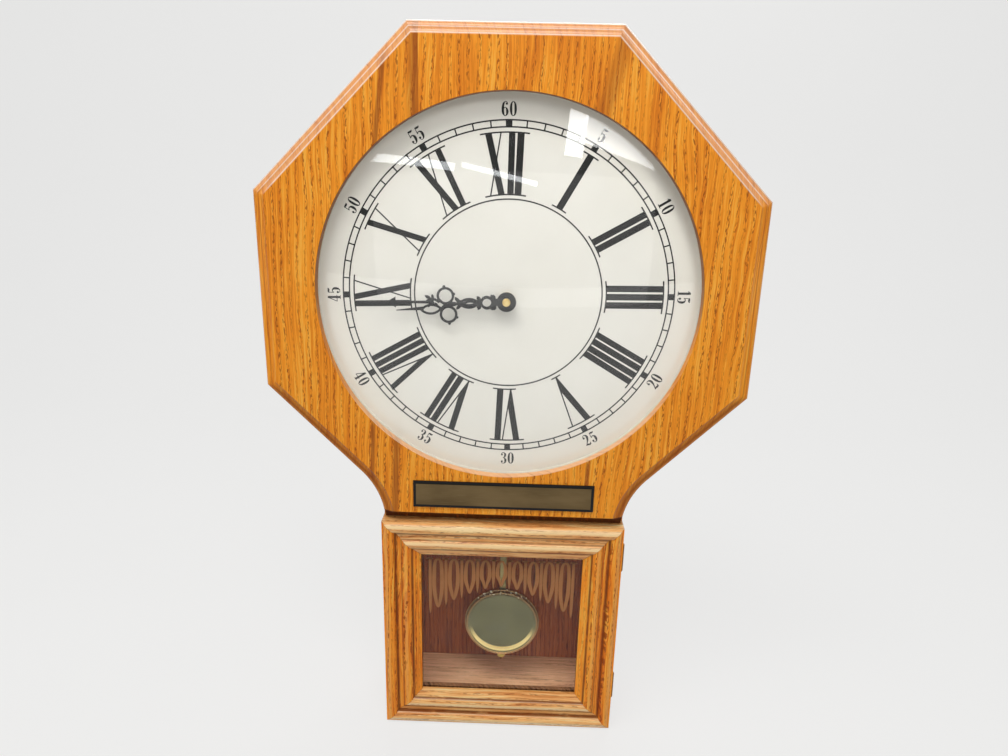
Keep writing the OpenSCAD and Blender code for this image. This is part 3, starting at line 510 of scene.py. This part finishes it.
# DIAL PRINTING
# One thin layer of charcoal ink. The print sits about a degree askew on its board, as it does on
# the real one: minute track, Roman hours with their feet inward, and numbers every five minutes.
print_turn = -1.1
print_left, print_above = 0.6, 0.2
print_centre = Vector((-print_left, 0, dial_centre_z + print_above)) / 1000
ink_face, ink_back = dial_low.y - 0.00006, dial_low.y
track_outer, track_inner, centre_ring = 152.3, 146.6, 86.3
five_minute_mm = 5.8
serif_outer, serif_inner, serif_mm = 142.3, 90.2, 1.3
hair = 1.25


def polar(turn, tangent, radius):
    """Point of the dial print from its clock angle in degrees, and millimetres along and out."""
    angle = math.radians(turn + print_turn)
    x = radius * math.sin(angle) + tangent * math.cos(angle)
    z = radius * math.cos(angle) - tangent * math.sin(angle)
    return print_centre.x + x / 1000, print_centre.z + z / 1000


class Film:
    """Strokes of ink or gilding between two planes, as one mesh. Seven fronts, 2 microns apart, take
    turns, so that strokes that cross don't share a plane."""

    fronts, apart = 7, 0.000002

    def __init__(self, name, front, back):
        self.name, self.front, self.back = name, front, back
        self.mesh = bmesh.new()
        self.count = 0

    def stroke(self, rows, closed=False):
        """Adds a stroke from rows of (left, right) points."""
        front = self.front - self.count % self.fronts * self.apart
        self.count += 1
        rings = []
        for (lx, lz), (rx, rz) in rows:
            corners = ((lx, front, lz), (rx, front, rz), (rx, self.back, rz), (lx, self.back, lz))
            rings.append([self.mesh.verts.new(corner) for corner in corners])
        pairs = list(zip(rings, rings[1:] + rings[:1]))
        for first, second in pairs if closed else pairs[:-1]:
            for k in range(4):
                self.mesh.faces.new((first[k], first[k - 3], second[k - 3], second[k]))
        if not closed:
            self.mesh.faces.new(rings[0][::-1])
            self.mesh.faces.new(rings[-1])

    def piece(self, body, material, slot):
        bmesh.ops.recalc_face_normals(self.mesh, faces=self.mesh.faces)
        mesh = bpy.data.meshes.new(self.name)
        self.mesh.to_mesh(mesh)
        self.mesh.free()
        mesh.materials.append(material)
        made = bpy.data.objects.new(self.name, mesh)
        scene.collection.objects.link(made)
        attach(made, body)


def arc_rows(radius, width, start, end, count):
    """Rows of an arc about the print's centre, between two clock angles."""
    turns = [start + (end - start) * i / count for i in range(count + 1)]
    return [(polar(t, 0, radius + width / 2), polar(t, 0, radius - width / 2)) for t in turns]


ink = Finish("dial_ink")
grey = ink.cloud(0.5, 3)
pinhole = ink.cloud(2.2, 1).step(0.70, 0.80)
ink_colour = ink.laid(shade(10, 10, 10), (grey, (24, 23, 22)), (pinhole * 0.5, (130, 126, 120)))
charcoal = ink.set(base_color=ink_colour, roughness=grey * 0.15 + 0.5, specular_ior_level=0.2,
                   normal=ink.bump(grey, 0.01, 0.2))

track = Film("minute_track", ink_face, ink_back)
for ring in (track_outer, track_inner, centre_ring):
    track.stroke(arc_rows(ring, hair, 0, 360, 240)[:-1], closed=True)
for minute in range(60):
    width = hair if minute % 5 else five_minute_mm
    half = math.degrees(width / 2 / track_outer)
    turns = (6 * minute - half, 6 * minute, 6 * minute + half)
    track.stroke([(polar(t, 0, track_outer), polar(t, 0, track_inner)) for t in turns])
track.piece("case", charcoal, "dial_white")

# hour strokes as (width, place at the outer end, place at the foot), left to right; a V adds its
# thin stroke's outer end and their apex, and an X its thin stroke's outer end and foot
hours = {
    1: [(6.1, 0.3, -0.3)],
    2: [(5.9, -3.1, -4.2), (6.0, 4.5, 3.3)],
    3: [(5.8, -7.2, -7.2), (5.9, 0.4, 0.4), (6.0, 8.1, 8.1)],
    4: [(5.6, -10.2, -10.6), (5.9, -2.9, -3.4), (5.9, 4.8, 3.9), (5.8, 12.3, 10.4)],
    5: [("V", 6.0, -8.0, 8.6, -0.9)],
    6: [("V", 6.0, -8.8, 4.8, -3.1), (6.0, 9.6, 6.8)],
    7: [("V", 6.0, -18.4, -3.6, -9.3), (5.9, 1.3, -1.0), (5.4, 8.7, 6.3)],
    8: [("V", 5.2, -22.4, -7.0, -13.1), (5.4, -2.9, -4.5), (5.2, 4.0, 2.7), (5.2, 11.0, 9.6)],
    9: [(5.5, -8.3, -7.3), ("X", 5.4, -2.0, 8.8, 13.2, -3.1)],
    10: [("X", 5.3, -6.2, 5.9, 7.9, -5.6)],
    11: [("X", 5.6, -11.5, -1.8, 0.9, -12.0), (5.3, 10.1, 5.7)],
    12: [("X", 5.7, -17.9, -6.3, -6.9, -16.0), (5.6, 2.8, 1.5), (6.1, 10.5, 8.1)],
}


def on_arc(radius, tangent):
    """How far out a point lies that is tangent mm beside the hour line on a circle."""
    return math.sqrt(radius * radius - tangent * tangent)


def bar_rows(turn, width, outer, foot):
    """A straight stroke between the two serif circles."""
    rows = []
    for place, circle in ((outer, serif_outer), (foot, serif_inner)):
        left, right = place - width / 2, place + width / 2
        rows.append((polar(turn, left, on_arc(circle, left)), polar(turn, right, on_arc(circle, right))))
    return rows


apex_half = 0.7


def wedge_rows(turn, width, outer, thin_outer, apex):
    """The thick stroke of a V, cut off along the thin one where the two run together."""
    top = serif_outer - 0.6
    drop = top - serif_inner
    left_lean = (apex - apex_half - (outer - width / 2)) / drop
    thin_lean = (apex - thin_outer) / drop
    meet = (thin_outer - (outer + width / 2)) / (left_lean - thin_lean)
    rows = []
    for down in (0, meet, drop):
        left = outer - width / 2 + left_lean * down
        right = left + width if down <= meet else thin_outer + thin_lean * down + 0.6
        rows.append((polar(turn, left, top - down), polar(turn, right, top - down)))
    return rows


numerals = Film("roman_numerals", ink_face, ink_back)
for hour, strokes in hours.items():
    turn = 30 * hour
    outer_reach, foot_reach = [], []
    for stroke in strokes:
        bars = [stroke]
        if stroke[0] == "V":
            width, outer, thin_outer, apex = stroke[1:]
            numerals.stroke(wedge_rows(turn, width, outer, thin_outer, apex))
            outer_reach.append(outer - width / 2)
            foot_reach += [apex - apex_half, apex + apex_half]
            bars = [(hair, thin_outer, apex)]
        elif stroke[0] == "X":
            width, outer, foot, thin_outer, thin_foot = stroke[1:]
            bars = [(width, outer, foot), (hair, thin_outer, thin_foot)]
        for width, outer, foot in bars:
            numerals.stroke(bar_rows(turn, width, outer, foot))
            outer_reach += [outer - width / 2, outer + width / 2]
            foot_reach += [foot - width / 2, foot + width / 2]
    for circle, reach, spare in ((serif_outer, outer_reach, 4.6), (serif_inner, foot_reach, 4.2)):
        start = turn + math.degrees((min(reach) - spare) / circle)
        end = turn + math.degrees((max(reach) + spare) / circle)
        numerals.stroke(arc_rows(circle, serif_mm, start, end, 16))
numerals.piece("case", charcoal, "dial_white")


def pen_rows(points, closed=False):
    """Rows of a pen stroke through points of (across, up, width), smoothed between them."""
    count, steps = len(points), 6
    line = []
    for i in range(count if closed else count - 1):
        places = range(i - 1, i + 3)
        four = [points[j % count] if closed else points[min(max(j, 0), count - 1)] for j in places]
        for t in (s / steps for s in range(steps)):
            weights = (-t ** 3 + 2 * t ** 2 - t, 3 * t ** 3 - 5 * t ** 2 + 2,
                       -3 * t ** 3 + 4 * t ** 2 + t, t ** 3 - t ** 2)
            line.append([sum(w * p[k] for w, p in zip(weights, four)) / 2 for k in range(3)])
    if not closed:
        line.append(list(points[-1]))
    rows = []
    for i, (x, y, width) in enumerate(line):
        before = line[i - 1] if closed or i > 0 else line[i]
        after = line[(i + 1) % len(line)] if closed or i + 1 < len(line) else line[i]
        length = math.hypot(after[0] - before[0], after[1] - before[1])
        side_x = (before[1] - after[1]) / length * width / 2
        side_y = (after[0] - before[0]) / length * width / 2
        rows.append(((x + side_x, y + side_y), (x - side_x, y - side_y)))
    return rows


def directions(first, last, step):
    """The directions from first to last, in degrees, as (cosine, sine)."""
    angles = [math.radians(turn) for turn in range(first, last, step)]
    return [(math.cos(angle), math.sin(angle)) for angle in angles]


def dot_rows(x, y, radius):
    """Rows of a round dot, from its left to its right."""
    return [((x + radius * c, y + radius * s), (x + radius * c, y - radius * s))
            for c, s in directions(170, -1, -20)]


# digits of a bold condensed face, each with its width and its strokes: a list is the way of a pen,
# as (across, up, width), and three numbers are a dot, as (across, up, radius)
digit_height = 12.0
digits = {
    0: (6.0, [[(3, 11.7, 0.55), (1.45, 10, 1.5), (1.05, 6, 2.1), (1.45, 2, 1.5), (3, 0.3, 0.55),
               (4.55, 2, 1.5), (4.95, 6, 2.1), (4.55, 10, 1.5)]]),
    1: (4.6, [[(2.5, 0.3, 2.1), (2.5, 6, 2.1), (2.5, 11.9, 2.1)],
              [(0.3, 9.5, 0.4), (1.2, 10.2, 1.0), (2.3, 11.5, 0.9)],
              [(0.4, 0.3, 0.6), (2.5, 0.3, 0.7), (4.6, 0.3, 0.6)]]),
    2: (6.2, [(1.5, 9.0, 1.05),
              [(0.9, 9.5, 0.6), (1.6, 11.2, 0.7), (3.1, 11.7, 0.7), (4.7, 10.3, 1.7), (4.9, 8.4, 2.1),
               (3.9, 5.6, 1.5), (2.1, 2.9, 0.8), (0.7, 0.8, 0.6)],
              [(0.5, 0.8, 0.9), (1.9, 1.5, 1.5), (3.6, 0.9, 1.8), (5.1, 1.0, 1.3), (5.7, 2.9, 0.4)]]),
    3: (6.0, [(1.5, 9.6, 0.95), (1.4, 2.4, 1.0),
              [(0.9, 10.1, 0.6), (1.8, 11.4, 0.6), (3.1, 11.7, 0.6), (4.5, 10.4, 1.6), (4.6, 8.6, 2.0),
               (3.8, 6.9, 1.0), (2.4, 6.4, 0.55)],
              [(2.4, 6.4, 0.55), (3.9, 5.9, 1.0), (4.9, 3.9, 2.1), (4.6, 1.6, 1.6), (3.1, 0.3, 0.6),
               (1.7, 0.6, 0.6), (0.8, 2.0, 0.6)]]),
    4: (6.3, [[(4.2, 0.3, 1.9), (4.2, 6, 1.9), (4.2, 12, 1.9)],
              [(3.9, 11.8, 0.7), (2.2, 7.6, 0.7), (0.4, 3.5, 0.7)],
              [(0.2, 3.4, 0.65), (3, 3.4, 0.65), (6.2, 3.4, 0.65)],
              [(2.6, 0.3, 0.6), (4.2, 0.3, 0.7), (5.8, 0.3, 0.6)]]),
    5: (6.0, [[(1.2, 11.2, 1.0), (2.6, 10.9, 1.7), (4.2, 10.9, 1.6), (5.2, 11.7, 0.4)],
              [(1.3, 11.4, 0.6), (1.25, 8.5, 0.6), (1.15, 6.1, 0.6)],
              [(1.1, 5.9, 0.5), (2.0, 7.0, 0.8), (3.3, 7.3, 0.9), (4.7, 5.9, 1.9), (4.9, 3.7, 2.2),
               (4.4, 1.5, 1.5), (3.0, 0.3, 0.6), (1.7, 0.7, 0.6), (0.9, 2.0, 0.6)],
              (1.45, 2.4, 1.0)]),
    6: (6.0, [[(5.1, 10.6, 0.6), (4.3, 11.5, 0.6), (3.3, 11.7, 0.6), (1.8, 10.2, 1.6), (1.15, 6.5, 2.2),
               (1.4, 2.6, 1.9), (3.0, 0.3, 0.6), (4.6, 1.6, 1.5), (4.95, 3.7, 2.1), (4.5, 5.8, 1.4),
               (3.2, 7.1, 0.6), (1.9, 6.2, 0.6)],
              (4.55, 10.0, 0.95)]),
}
number_foot, digit_gap = 155.2, 1.1
numbers = Film("minute_numbers", ink_face, ink_back)
for minute in range(5, 61, 5):
    figures = [int(c) for c in str(minute)]
    upright = not 17 < minute < 43
    total = sum(digits[f][0] for f in figures) + digit_gap * (len(figures) - 1)
    start = -total / 2
    for figure in figures:
        wide, strokes = digits[figure]
        closed = figure == 0
        for stroke in strokes:
            rows = dot_rows(*stroke) if isinstance(stroke, tuple) else pen_rows(stroke, closed)
            if upright:
                placed = [[(start + x, number_foot + y) for x, y in pair] for pair in rows]
            else:
                placed = [[(-start - x, number_foot + digit_height - y) for x, y in pair] for pair in rows]
            numbers.stroke([[polar(6 * minute, *point) for point in pair] for pair in placed], closed)
        start += wide + digit_gap
numbers.piece("case", charcoal, "dial_white")

# DIAL GLASS AND SPACER RING
# Clear domed glass with a flat flange, laid in the board's rebate. A white card ring keeps it
# off the dial, and shows as a pale edge around it.


def clear_glass(name, tint, seed=0.0, gloss=0.85):
    """Thin glass: it hardly bends what lies behind it, mirrors the lamps and has a film of dust."""
    finish = Finish(name)
    film = finish.cloud(0.04, 4, seed)
    grit = finish.cloud(0.9, 2, seed).step(0.70, 0.80)
    darker_tint = tuple(c * 0.985 for c in tint)
    finish.set(base_color=finish.mix(film, tint, darker_tint), transmission_weight=1.0, roughness=0.0,
               ior=1.03, coat_weight=film * 0.1 + gloss, coat_ior=1.5, coat_roughness=0.03)
    haze = finish.node("BsdfDiffuse", {}, {"Color": (0.85, 0.84, 0.82, 1)})
    dusty = (film.step(0.45, 0.75) * 0.3 + grit) * 0.02
    dusted = finish.node("MixShader", {}, {0: dusty, 1: finish.principled, 2: haze})
    shadow = finish.node("LightPath", out="Is Shadow Ray")
    clear = finish.node("BsdfTransparent", {}, {"Color": (*tint, 1)})
    return finish.surface(finish.node("MixShader", {}, {0: shadow, 1: dusted, 2: clear}))


def dome_rows():
    """Half section of the dome as (radius, depth), from its front over the flange to its back."""
    sheet_mm, flange_mm, edge_round, steps = 2.2, 6.8, 0.3, 48
    low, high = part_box("dial_glass")
    front, back = low.y * 1000, high.y * 1000
    edge_mm = (high.x - low.x) * 500 - 0.1
    chord = edge_mm - flange_mm
    rise = back - sheet_mm - front
    round_mm = (chord * chord + rise * rise) / (2 * rise)
    inner_mm = round_mm - sheet_mm
    inner_chord = math.sqrt(inner_mm ** 2 - (round_mm - rise - sheet_mm) ** 2)
    outer = [chord * i / steps for i in range(1, steps + 1)]
    inner = [inner_chord * i / steps for i in range(steps, 0, -1)]
    rows = [(r, front + round_mm - math.sqrt(round_mm ** 2 - r * r)) for r in outer]
    rows += [(edge_mm - edge_round, back - sheet_mm), (edge_mm, back - sheet_mm + edge_round)]
    rows += [(edge_mm, back - edge_round), (edge_mm - edge_round, back)]
    rows += [(r, front + round_mm - math.sqrt(inner_mm ** 2 - r * r)) for r in inner]
    return rows, front, front + sheet_mm


def turned_piece(name, middle, rows, front_tip, back_tip, around):
    """A half section turned about a level axis through middle, and closed by a tip at each end."""
    vertices = [(middle.x, front_tip / 1000, middle.z)]
    for radius, depth in rows:
        for k in range(around):
            turn = -2 * math.pi * k / around
            vertices.append((middle.x + radius * math.sin(turn) / 1000, depth / 1000,
                             middle.z + radius * math.cos(turn) / 1000))
    vertices.append((middle.x, back_tip / 1000, middle.z))
    neighbours = [(k, (k + 1) % around) for k in range(around)]
    faces = [(0, 1 + k, 1 + n) for k, n in neighbours]
    for ring in range(len(rows) - 1):
        first, second = 1 + ring * around, 1 + (ring + 1) * around
        faces += [(first + k, second + k, second + n, first + n) for k, n in neighbours]
    last = 1 + (len(rows) - 1) * around
    faces += [(last + k, last + around, last + n) for k, n in neighbours]
    return smooth_piece(name, vertices, faces)


dome_section, crown_front, crown_back = dome_rows()
dome = turned_piece("blown_dial_glass", dial_centre, dome_section, crown_front, crown_back, around=160)
flange_from = 0.1742
for face in dome.data.polygons:
    out = math.hypot(face.center.x - dial_centre.x, face.center.z - dial_centre.z)
    face.use_smooth = abs(face.normal.y) > 0.9 and out < flange_from
dome.data.materials.append(clear_glass("dial_glass_clear", (0.985, 0.99, 0.985), seed=1.0))
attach(dome, "case")
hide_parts("dial_glass")
card = Finish("white_card")
fibres = card.cloud(0.7, 3)
card_colour = card.mix(fibres, shade(226, 222, 212), shade(206, 200, 186))
dress("glass_spacer_ring", card.set(base_color=card_colour, roughness=fibres * 0.1 + 0.7,
                                    normal=card.bump(fibres, 0.03, 0.4)))

# NECK PLATE
# A thin sheet of brushed, darkened brass, left bare, stuck on a black backing that shows as a
# narrow border all round.
plate = Finish("brushed_dark_brass")
brushed = plate.cloud((0.06, 3.0, 5.0), 3)
toned = plate.cloud((0.02, 0.05, 0.05), 3)
plate_colour = plate.laid(shade(118, 98, 66), (toned.step(0.3, 0.7), (96, 78, 50)),
                          (brushed.step(0.45, 0.75) * 0.35, (140, 121, 88)))
dress("bare_plate", plate.set(base_color=plate_colour, metallic=0.85, roughness=brushed * 0.2 + 0.30,
                              normal=plate.bump(brushed, 0.02, 0.3)))


def moulded(name, colour, worn_colour, roughness=0.45, seed=0.0):
    """Moulded plastic: fine spark texture, a slight sheen and paler rubbed patches."""
    finish = Finish(name)
    grain = finish.cloud(2.0, 2, seed)
    rub = finish.cloud(0.05, 3, seed).step(0.5, 0.8)
    colour = finish.laid(shade(*colour), (rub * 0.5, worn_colour))
    return finish.set(base_color=colour, roughness=grain * 0.14 + roughness - rub * 0.08,
                      specular_ior_level=0.25, normal=finish.bump(grain, 0.03, 0.35))


black_plastic = moulded("black_plastic", (16, 16, 16), (32, 32, 32), 0.45)
dress("plate_backing", black_plastic)

# MOVEMENT
# A sealed battery movement behind the dial, held by a brass bush, washer and nut in the dial's
# hole. An AA cell lies in its bay, and the pendulum's lever swings on a steel pin below.
dress("movement_case", black_plastic)
dress("movement_cover", moulded("movement_cover_plastic", (34, 34, 36), (52, 52, 54), 0.38, seed=3.0))
polished_brass = plated("polished_brass", (236, 205, 122), (196, 158, 82), 0.2, seed=1.5, spots=0.2)
dress("movement_bush movement_washer movement_hex_nut", polished_brass)

sleeve = Finish("battery_sleeve")
sleeve_rub = sleeve.cloud((0.4, 0.4, 0.1), 3)
cell_foot, cell_top = (corner.z * 1000 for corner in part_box("battery"))
collar_z = cell_foot + 37
cap_z = cell_top - 1.5
collar = sleeve.z.step(collar_z - 0.2, collar_z + 0.2)
cap = sleeve.z.step(cap_z - 0.1, cap_z + 0.1)
sleeve_colour = sleeve.laid(shade(38, 44, 74), (collar, (196, 150, 82)), (cap, (200, 200, 196)),
                            (sleeve_rub.step(0.6, 0.8) * 0.3, (150, 150, 150)))
dress("battery", sleeve.set(base_color=sleeve_colour, roughness=sleeve_rub * 0.15 + 0.25,
                            metallic=cap * 0.8, normal=sleeve.bump(sleeve_rub, 0.02, 0.3)))
dress("battery_contacts", zinc)
steel = plated("turned_steel", (198, 198, 196), (160, 158, 152), 0.3, seed=8.0)
dress("pendulum_pivot_pin", steel)

# HANDS
# Stamped steel, pierced with rings and scrolls and painted satin black. The hour hand sits on the
# tube, the minute hand on the arbor inside it, under a small knurled brass nut.
paint = Finish("black_paint")
paint_grain = paint.cloud(1.4)
chip = paint.cloud(0.6, 2, 3.0).step(0.74, 0.80)
paint_colour = paint.laid(shade(14, 14, 14), (paint_grain, (26, 25, 24)), (chip * 0.4, (96, 92, 86)))
black_paint = paint.set(base_color=paint_colour, roughness=paint_grain * 0.16 + 0.36,
                        normal=paint.bump(paint_grain, 0.02, 0.3), specular_ior_level=0.3)
dress("minute_hand hour_hand", black_paint)
dress("minute_arbor hour_tube", steel)
dress("hand_nut", plated("nut_brass", (250, 222, 150), (222, 186, 108), 0.38, seed=18.0, spots=0.1))
dress("setting_knob", black_plastic)

# DOOR FRAME
# Two rails and two stiles of moulded solid oak, mitred and glued. Each member's grain runs along
# it, streakier than the board's, and the mitres show as fine dark lines.
head_low, head_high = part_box("door_top_rail")
door_left = head_low.x * 1000
door_head = head_high.z * 1000
door_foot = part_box("door_bottom_rail")[0].z * 1000
door_middle = (door_head + door_foot) / 2
outer_bead, inner_bead = 4.6, 23.2


def in_from_edge(finish, member):
    """How far a point of the door lies in from the outer edge of the member that it is on."""
    if member == "head":
        return door_head - finish.z
    if member == "foot":
        return finish.z - door_foot
    return abs(finish.x) * -1 - door_left


def moulding_tone(member, crest, highlight_share):
    """Dark mitre lines, painted shade in the moulding's grooves and painted highlights on its crests."""
    def tone(finish, colour):
        inward = in_from_edge(finish, member)
        side = in_from_edge(finish, "side")
        near_foot = (finish.z - door_middle).step(1, -1)
        end = in_from_edge(finish, "head") * (1 - near_foot) + in_from_edge(finish, "foot") * near_foot
        # painted highlight along the crests of the outer and inner beads
        bead_highlight = inward.near(outer_bead, 3.4, 0.4).max(inward.near(inner_bead, 3.2, 0.4))
        mitre = side.near(end, 0.5, 0.1)
        dark = mitre * 0.5
        # painted shade in the moulding's grooves, over the mitres' dark lines
        for groove, width, depth in ((13.4, 2.2, 0.85), (19.4, 1.2, 0.6), (30.2, 1.6, 0.85)):
            dark = dark.max(inward.near(groove, width, 0.3) * depth)
        patchy = finish.cloud(0.08).step(0.15, 0.5) * 0.5 + 0.45
        return finish.laid(colour, (bead_highlight * highlight_share, crest), (dark * patchy, (112, 54, 22)))
    return tone


# the rails' paler, less saturated tones are painted light from above on their up-facing mouldings
rail_tones = dict(light=(255, 224, 160), middle=(255, 194, 120), dark=(222, 142, 72), pore=(146, 76, 30),
                  ring_mm=6.0, wander_mm=10, gloss=0.32, coat=0.5, grain=0.6, tick_mm=7.0)
stile_tones = dict(light=(255, 190, 78), middle=(255, 156, 42), dark=(224, 114, 22), pore=(152, 68, 14),
                   ring_mm=5.0, wander_mm=12, gloss=0.34, coat=0.18, grain=0.9, tick_mm=5.0)
# colours of the painted highlights on the door's crests
pale_crest_highlight, honey_crest_highlight = (255, 230, 178), (255, 206, 116)
dress("door_top_rail", oak("oak_door_top", along="x", across="z", seed=14.0,
                           tone=moulding_tone("head", pale_crest_highlight, 0.7), **rail_tones))
dress("door_bottom_rail", oak("oak_door_bottom", along="x", across="z", seed=17.5,
                              tone=moulding_tone("foot", pale_crest_highlight, 0.85), **rail_tones))


def stile_cathedral(finish):
    """The pointed figure that the growth lines make on the left stile."""
    above_mm, inward_mm, tall_mm, wide_mm, push_mm = 96, 15, 80, 12, 5
    up = (finish.z - door_foot - above_mm) / tall_mm
    across = (finish.x - door_left - inward_mm) / wide_mm
    return (across * across + up * up).step(2.2, 0.0) * push_mm


stile_tone = moulding_tone("side", honey_crest_highlight, 0.3)
dress("door_left_stile", oak("oak_door_left", seed=21.3, figure=stile_cathedral, tone=stile_tone,
                             **stile_tones))
dress("door_right_stile", oak("oak_door_right", seed=26.8, tone=stile_tone, **stile_tones))
dress("glass_retainers", oak("oak_retainers", seed=30.1, light=(158, 110, 76), middle=(140, 94, 62),
                             dark=(106, 66, 40), pore=(70, 40, 22), ring_mm=5.0, gloss=0.5, coat=0.0))

# DOOR GLASS AND ITS GILDING
# Flat clear glass in the door's rebate. On its back is one layer of dull gold: a row of tall
# loops and pointed bars that hang from a straight line, longest at the two sides.
dress("door_glass", clear_glass("door_glass_clear", (0.97, 0.985, 0.975), seed=6.0, gloss=0.25))
pane_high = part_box("door_glass")[1]
gilt_top = pane_high.z * 1000 - 12
gilt_half = 74.0
arch_middle, arch_side = gilt_top - 33, gilt_top - 66
loop_count, loop_pen = 9, 4.0
pitch = 2 * gilt_half / loop_count


def arch(x):
    """Height of the ornament's lower edge at a place across it."""
    return arch_middle - (arch_middle - arch_side) * (abs(x) / gilt_half) ** 1.5


def loop_points(x):
    """A pen's way round one loop, round at its head and pointed at its foot."""
    foot, head = arch(x) + 2.5, gilt_top - 1.5
    half, thin = pitch * 0.25, loop_pen * 0.8
    middle = foot + (head - foot) * 0.45
    right = [(half * 0.8, head - 5, thin), (half, middle, loop_pen), (half * 0.5, foot + 7, thin)]
    left = [(-across, up, pen) for across, up, pen in reversed(right)]
    way = [(0, head, 2.0)] + right + [(0, foot, 1.6)] + left
    return [(x + across, up, pen) for across, up, pen in way]


def bar_points(x):
    """The pen's way down one pointed bar, and across its head."""
    foot = arch(x)
    down = [(x, gilt_top, 3.6), (x, gilt_top - 4, 2.8), (x, (gilt_top + foot) / 2, 3.2),
            (x, foot + 8, 2.6), (x, foot, 0.5)]
    over = [(x - 3.6, gilt_top - 0.7, 0.8), (x, gilt_top - 0.6, 1.6), (x + 3.6, gilt_top - 0.7, 0.8)]
    return down, over


def gild(points, closed=False):
    """Adds a pen stroke, given in millimetres, to the gilding."""
    rows = pen_rows(points, closed)
    gilding.stroke([((a / 1000, b / 1000), (c / 1000, d / 1000)) for (a, b), (c, d) in rows], closed)


gilding = Film("glass_gilding", pane_high.y + 0.00004, pane_high.y)
for i in range(loop_count):
    gild(loop_points((i + 0.5) * pitch - gilt_half), closed=True)
for i in range(loop_count + 1):
    for way in bar_points(i * pitch - gilt_half):
        gild(way)
gilt = Finish("dull_gold")
leafed = gilt.cloud(0.25, 3)
gilt_colour = gilt.mix(leafed, shade(226, 174, 120), shade(208, 156, 102))
gilding.piece("door", gilt.set(base_color=gilt_colour, roughness=leafed * 0.15 + 0.5,
                               normal=gilt.bump(leafed, 0.01, 0.2)), "polished_brass")

# HINGES AND CATCH
# Two small brass butt hinges on the right with countersunk screws, and on the left a magnetic
# catch of brown plastic that pulls a steel strike on the door.
hinge_brass = plated("hinge_brass", (150, 104, 56), (104, 70, 38), 0.4, seed=12.0)
dress("case_hinge_leaves door_hinge_leaves hinge_pins", hinge_brass)
dress("case_hinge_screws door_hinge_screws", screw_brass)
dress("catch_housing", moulded("brown_plastic", (92, 58, 36), (112, 76, 50), 0.5, seed=6.0))
dress("catch_magnet", plated("dark_ferrite", (70, 70, 74), (52, 52, 54), 0.5, seed=7.0, metallic=0.4))
dress("catch_strike strike_screw", steel)

# PENDULUM
# A white plastic lever with a hook carries a flat brass strip. The bob is two thin brass shells: a
# front with a bright sunk face, a raised lip and a rolled rim, and a back. A nut sets its height.
dress("pendulum_driver", moulded("white_plastic", (224, 221, 212), (206, 202, 190), 0.4, seed=9.0))
dress("pendulum_rod", plated("brass_strip", (150, 132, 88), (112, 98, 66), 0.34, seed=15.0))
dress("rating_nut", plated("rating_brass", (255, 232, 140), (244, 206, 110), 0.5, seed=19.0, spots=0.1,
                           metallic=0.7))
dress("rating_rod bob_back_shell", polished_brass)
bob_low, bob_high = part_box("bob_front_shell")
bob_middle = (bob_low + bob_high) / 2 * 1000
bob_radius_mm = (bob_high.x - bob_low.x) * 500


def bob_rows():
    """Half section of the front shell as (radius, depth): sunk face, lip, groove and rolled rim."""
    crest, seat = bob_low.y * 1000 + 0.1, bob_high.y * 1000
    face_r, sunk_mm, dome_mm = 34.4, 1.9, 1500.0
    lip_r, bead_r, bead = 36.6, 38.8, 0.6
    roll = 0.95
    roll_r, roll_depth = bob_radius_mm - 0.05 - roll, seat - roll - 0.02
    face = crest + sunk_mm
    rows = [(r, face + (r * r - face_r ** 2) / (2 * dome_mm)) for r in (6, 12, 18, 24, 30, face_r - 0.3)]
    rows += [(face_r, face - 0.03), (face_r + 1.2, face - 0.35), (face_r + 2.6, face - 1.0)]
    rows += [(lip_r + 1.35, crest + 0.35)]
    rows += [(bead_r - bead * c, crest + bead - bead * s) for c, s in directions(0, 181, 20)]
    rows += [(lip_r + 2.85, roll_depth - 0.3), (lip_r + 3.0, roll_depth + 0.1)]
    rows += [(roll_r + roll * c, roll_depth - roll * s) for c, s in directions(150, -91, -20)]
    rows += [(lip_r + 2.4, seat - 0.05), (lip_r + 2.2, seat - 1.2)]
    rows += [(lip_r - 2.4, crest + 2.6), (18, crest + 2.5)]
    return rows


bob = Finish("bob_brass")
across_squared = (bob.x - bob_middle.x) ** 2
bob_up = bob.z - bob_middle.z
bob_out = (across_squared + bob_up ** 2).math("SQRT")
face_out = (across_squared + (bob_up - 3) ** 2).math("SQRT")
below = (bob_middle.z - bob.z).step(2, 22)
lip = face_out.step(33.5, 34.0)
roll = bob_out.step(37.3, 37.7)
# painted shade: a dark line in the groove below the face
groove_shade = bob_out.near(36.6, 1.0, 0.4) * below
clouding = bob.cloud(0.05, 3)
mirror = bob.mix(clouding.step(0.3, 0.7), shade(124, 119, 90), shade(110, 106, 80))
# painted highlight: a cream crescent on the lip below the face, browner on the rolled rim
crescent_highlight = bob.mix(roll, shade(255, 228, 158), shade(206, 156, 108))
# painted glints: pale specks along the top of the rim
rim_glints = bob.cloud(0.3).step(0.60, 0.66) * bob_out.step(37.0, 38.0) * bob_up.step(24, 32)
bob_colour = bob.laid(bob.mix(lip * below, mirror, crescent_highlight), (roll * 0.6, (190, 146, 100)),
                      (groove_shade * 0.8, (84, 66, 40)), (rim_glints, (236, 230, 206)))
bob_section = bob_rows()
front_tip, back_tip = bob_section[0][1] - 0.012, bob_section[-1][1]
shell = turned_piece("pressed_bob_shell", bob_middle / 1000, bob_section, front_tip, back_tip, around=144)
shell.data.materials.append(bob.set(base_color=bob_colour, metallic=1 - rim_glints,
                                    roughness=clouding * 0.06 + lip * 0.14 + rim_glints * 0.4 + 0.08,
                                    normal=bob.bump(clouding + rim_glints * 0.2, 0.01, 0.15)))
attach(shell, "bob")
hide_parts("bob_front_shell")
